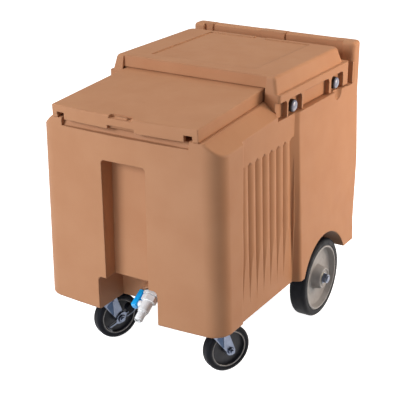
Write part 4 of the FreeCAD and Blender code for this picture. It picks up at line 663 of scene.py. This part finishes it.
def dress_valve():
    """Thick moulded lever that stands for the flat one, and thread rings on the hose tail."""
    stem = Matrix.Translation(joint_named("valve_turn")["pos_m"])
    flow = Matrix.Rotation(math.radians(FLOW_TURN_DEG), 4, "X")
    place = stem @ flow @ Matrix.Translation((0, 0, -STEM_ALONG_FLOW * MM))
    rings = []
    for outer, step_out, half_width, along, radius in LEVER_RINGS:
        rings.append(rounded(outer, LEVER_INNER_X - step_out, half_width, along, radius))
    grip = lofted("valve_lever_grip", "valve_handle", "blue_plastic", place, rings)
    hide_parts("valve_lever")
    along_flow = place @ Matrix.Rotation(-math.pi / 2, 4, "Y")
    for ring in range(THREAD_COUNT):
        start = THREAD_START + THREAD_PITCH * ring
        section = [(start + along, radius) for along, radius in THREAD_RING]
        turned(f"hose_tail_thread_{ring + 1}", "tub", "white_plastic", along_flow, section, steps=48)


# Studio. ROOM_BLEND is how far above and below level the room's two colours blend, where 1 is straight up.

ROOM_ABOVE, ROOM_BELOW = "#ffffff", "#8f8c8a"
ROOM_BLEND = 0.6
WORLD_STRENGTH = 0.4
FLOOR_SIZE = 40000
FLOOR_GLOW = 1.0
CAMERA_AZIMUTH_DEG, CAMERA_ELEVATION_DEG = 31.1, 21.4
CAMERA_DISTANCE = 2923.6
CAMERA_TARGET = (-23.8, 0, 343.1)
CAMERA_LENS, CAMERA_SENSOR = 96.4, 36.0


def white_sweep():
    """The studio's white paper sweep: matt, and lit so that it stays nearly white."""
    material, tree, shader, where = start_material("paper_sweep_white", Roughness=0.95)
    colour = mottled(tree, where, patch_mm=900, low="#fbfbfb", high="#ffffff")
    tree.links.new(colour, shader.inputs["Base Color"])
    shader.inputs["Emission Color"].default_value = linear("#ffffff")
    shader.inputs["Emission Strength"].default_value = FLOOR_GLOW
    return material


def add_floor():
    """A wide white floor, whose glow doesn't light the bin's underside."""
    bpy.ops.mesh.primitive_plane_add(size=FLOOR_SIZE * MM)
    floor = bpy.context.object
    floor.name = "floor"
    floor.data.materials.append(white_sweep())
    floor.visible_diffuse = False


def add_world():
    """A pale room: bright above and dim below, as under a studio's light bank."""
    world = bpy.data.worlds.new("studio")
    bpy.context.scene.world = world
    world.use_nodes = True
    tree = world.node_tree
    way = add_node(tree, "SeparateXYZ", inputs={"Vector": add_node(tree, "TexCoord").outputs["Generated"]})
    blend = {"Value": way.outputs["Z"], "From Min": -ROOM_BLEND, "From Max": ROOM_BLEND}
    height = add_node(tree, "MapRange", inputs=blend)
    ramp = add_node(tree, "ValToRGB", inputs={"Fac": height.outputs["Result"]})
    ramp.color_ramp.elements[0].color = linear(ROOM_BELOW)
    ramp.color_ramp.elements[1].color = linear(ROOM_ABOVE)
    background = tree.nodes["Background"]
    tree.links.new(ramp.outputs["Color"], background.inputs["Color"])
    background.inputs["Strength"].default_value = WORLD_STRENGTH


def add_area_light(name, place, target, size, watts, tint):
    """A square soft light, turned to its target."""
    data = bpy.data.lights.new(name, "AREA")
    data.color = linear(tint)[:3]
    data.shape = "SQUARE"
    data.size = size * MM
    data.energy = watts
    light = bpy.data.objects.new(name, data)
    bpy.context.scene.collection.objects.link(light)
    place, target = Vector(place) * MM, Vector(target) * MM
    light.location = place
    light.rotation_euler = (target - place).to_track_quat("-Z", "Y").to_euler()


def add_lights():
    """A warm light beside the bin, two cool ones in front and a plain one overhead."""
    add_area_light("side_key", (1500, 900, 850), (100, 50, 450), size=800, watts=24, tint="#ffeedd")
    add_area_light("front_fill", (-1200, -2600, 1600), (0, 0, 350), size=1200, watts=62, tint="#f4f8ff")
    add_area_light("low_front", (-100, -1300, 80), (0, -350, 170), size=350, watts=3, tint="#f4f8ff")
    add_area_light("overhead", (100, 600, 2600), (0, 0, 350), size=1200, watts=14, tint="#ffffff")


def add_camera():
    """A long lens in front of the bin's right corner, looking a little down."""
    azimuth, elevation = math.radians(CAMERA_AZIMUTH_DEG), math.radians(CAMERA_ELEVATION_DEG)
    level = math.cos(elevation)
    away = Vector((math.sin(azimuth) * level, -math.cos(azimuth) * level, math.sin(elevation)))
    data = bpy.data.cameras.new("camera")
    data.lens = CAMERA_LENS
    data.sensor_width = CAMERA_SENSOR
    camera = bpy.data.objects.new("camera", data)
    bpy.context.scene.collection.objects.link(camera)
    camera.location = (Vector(CAMERA_TARGET) + away * CAMERA_DISTANCE) * MM
    camera.rotation_euler = (-away).to_track_quat("-Z", "Y").to_euler()
    bpy.context.scene.camera = camera


finish_cad_nodes()
smooth_cad_nodes()
dress_cover()
dress_handle()
dress_rear_wheels()
dress_casters()
dress_brake()
dress_knobs()
dress_valve()
add_floor()
add_world()
add_lights()
add_camera()
bpy.context.scene.view_settings.view_transform = "Standard"
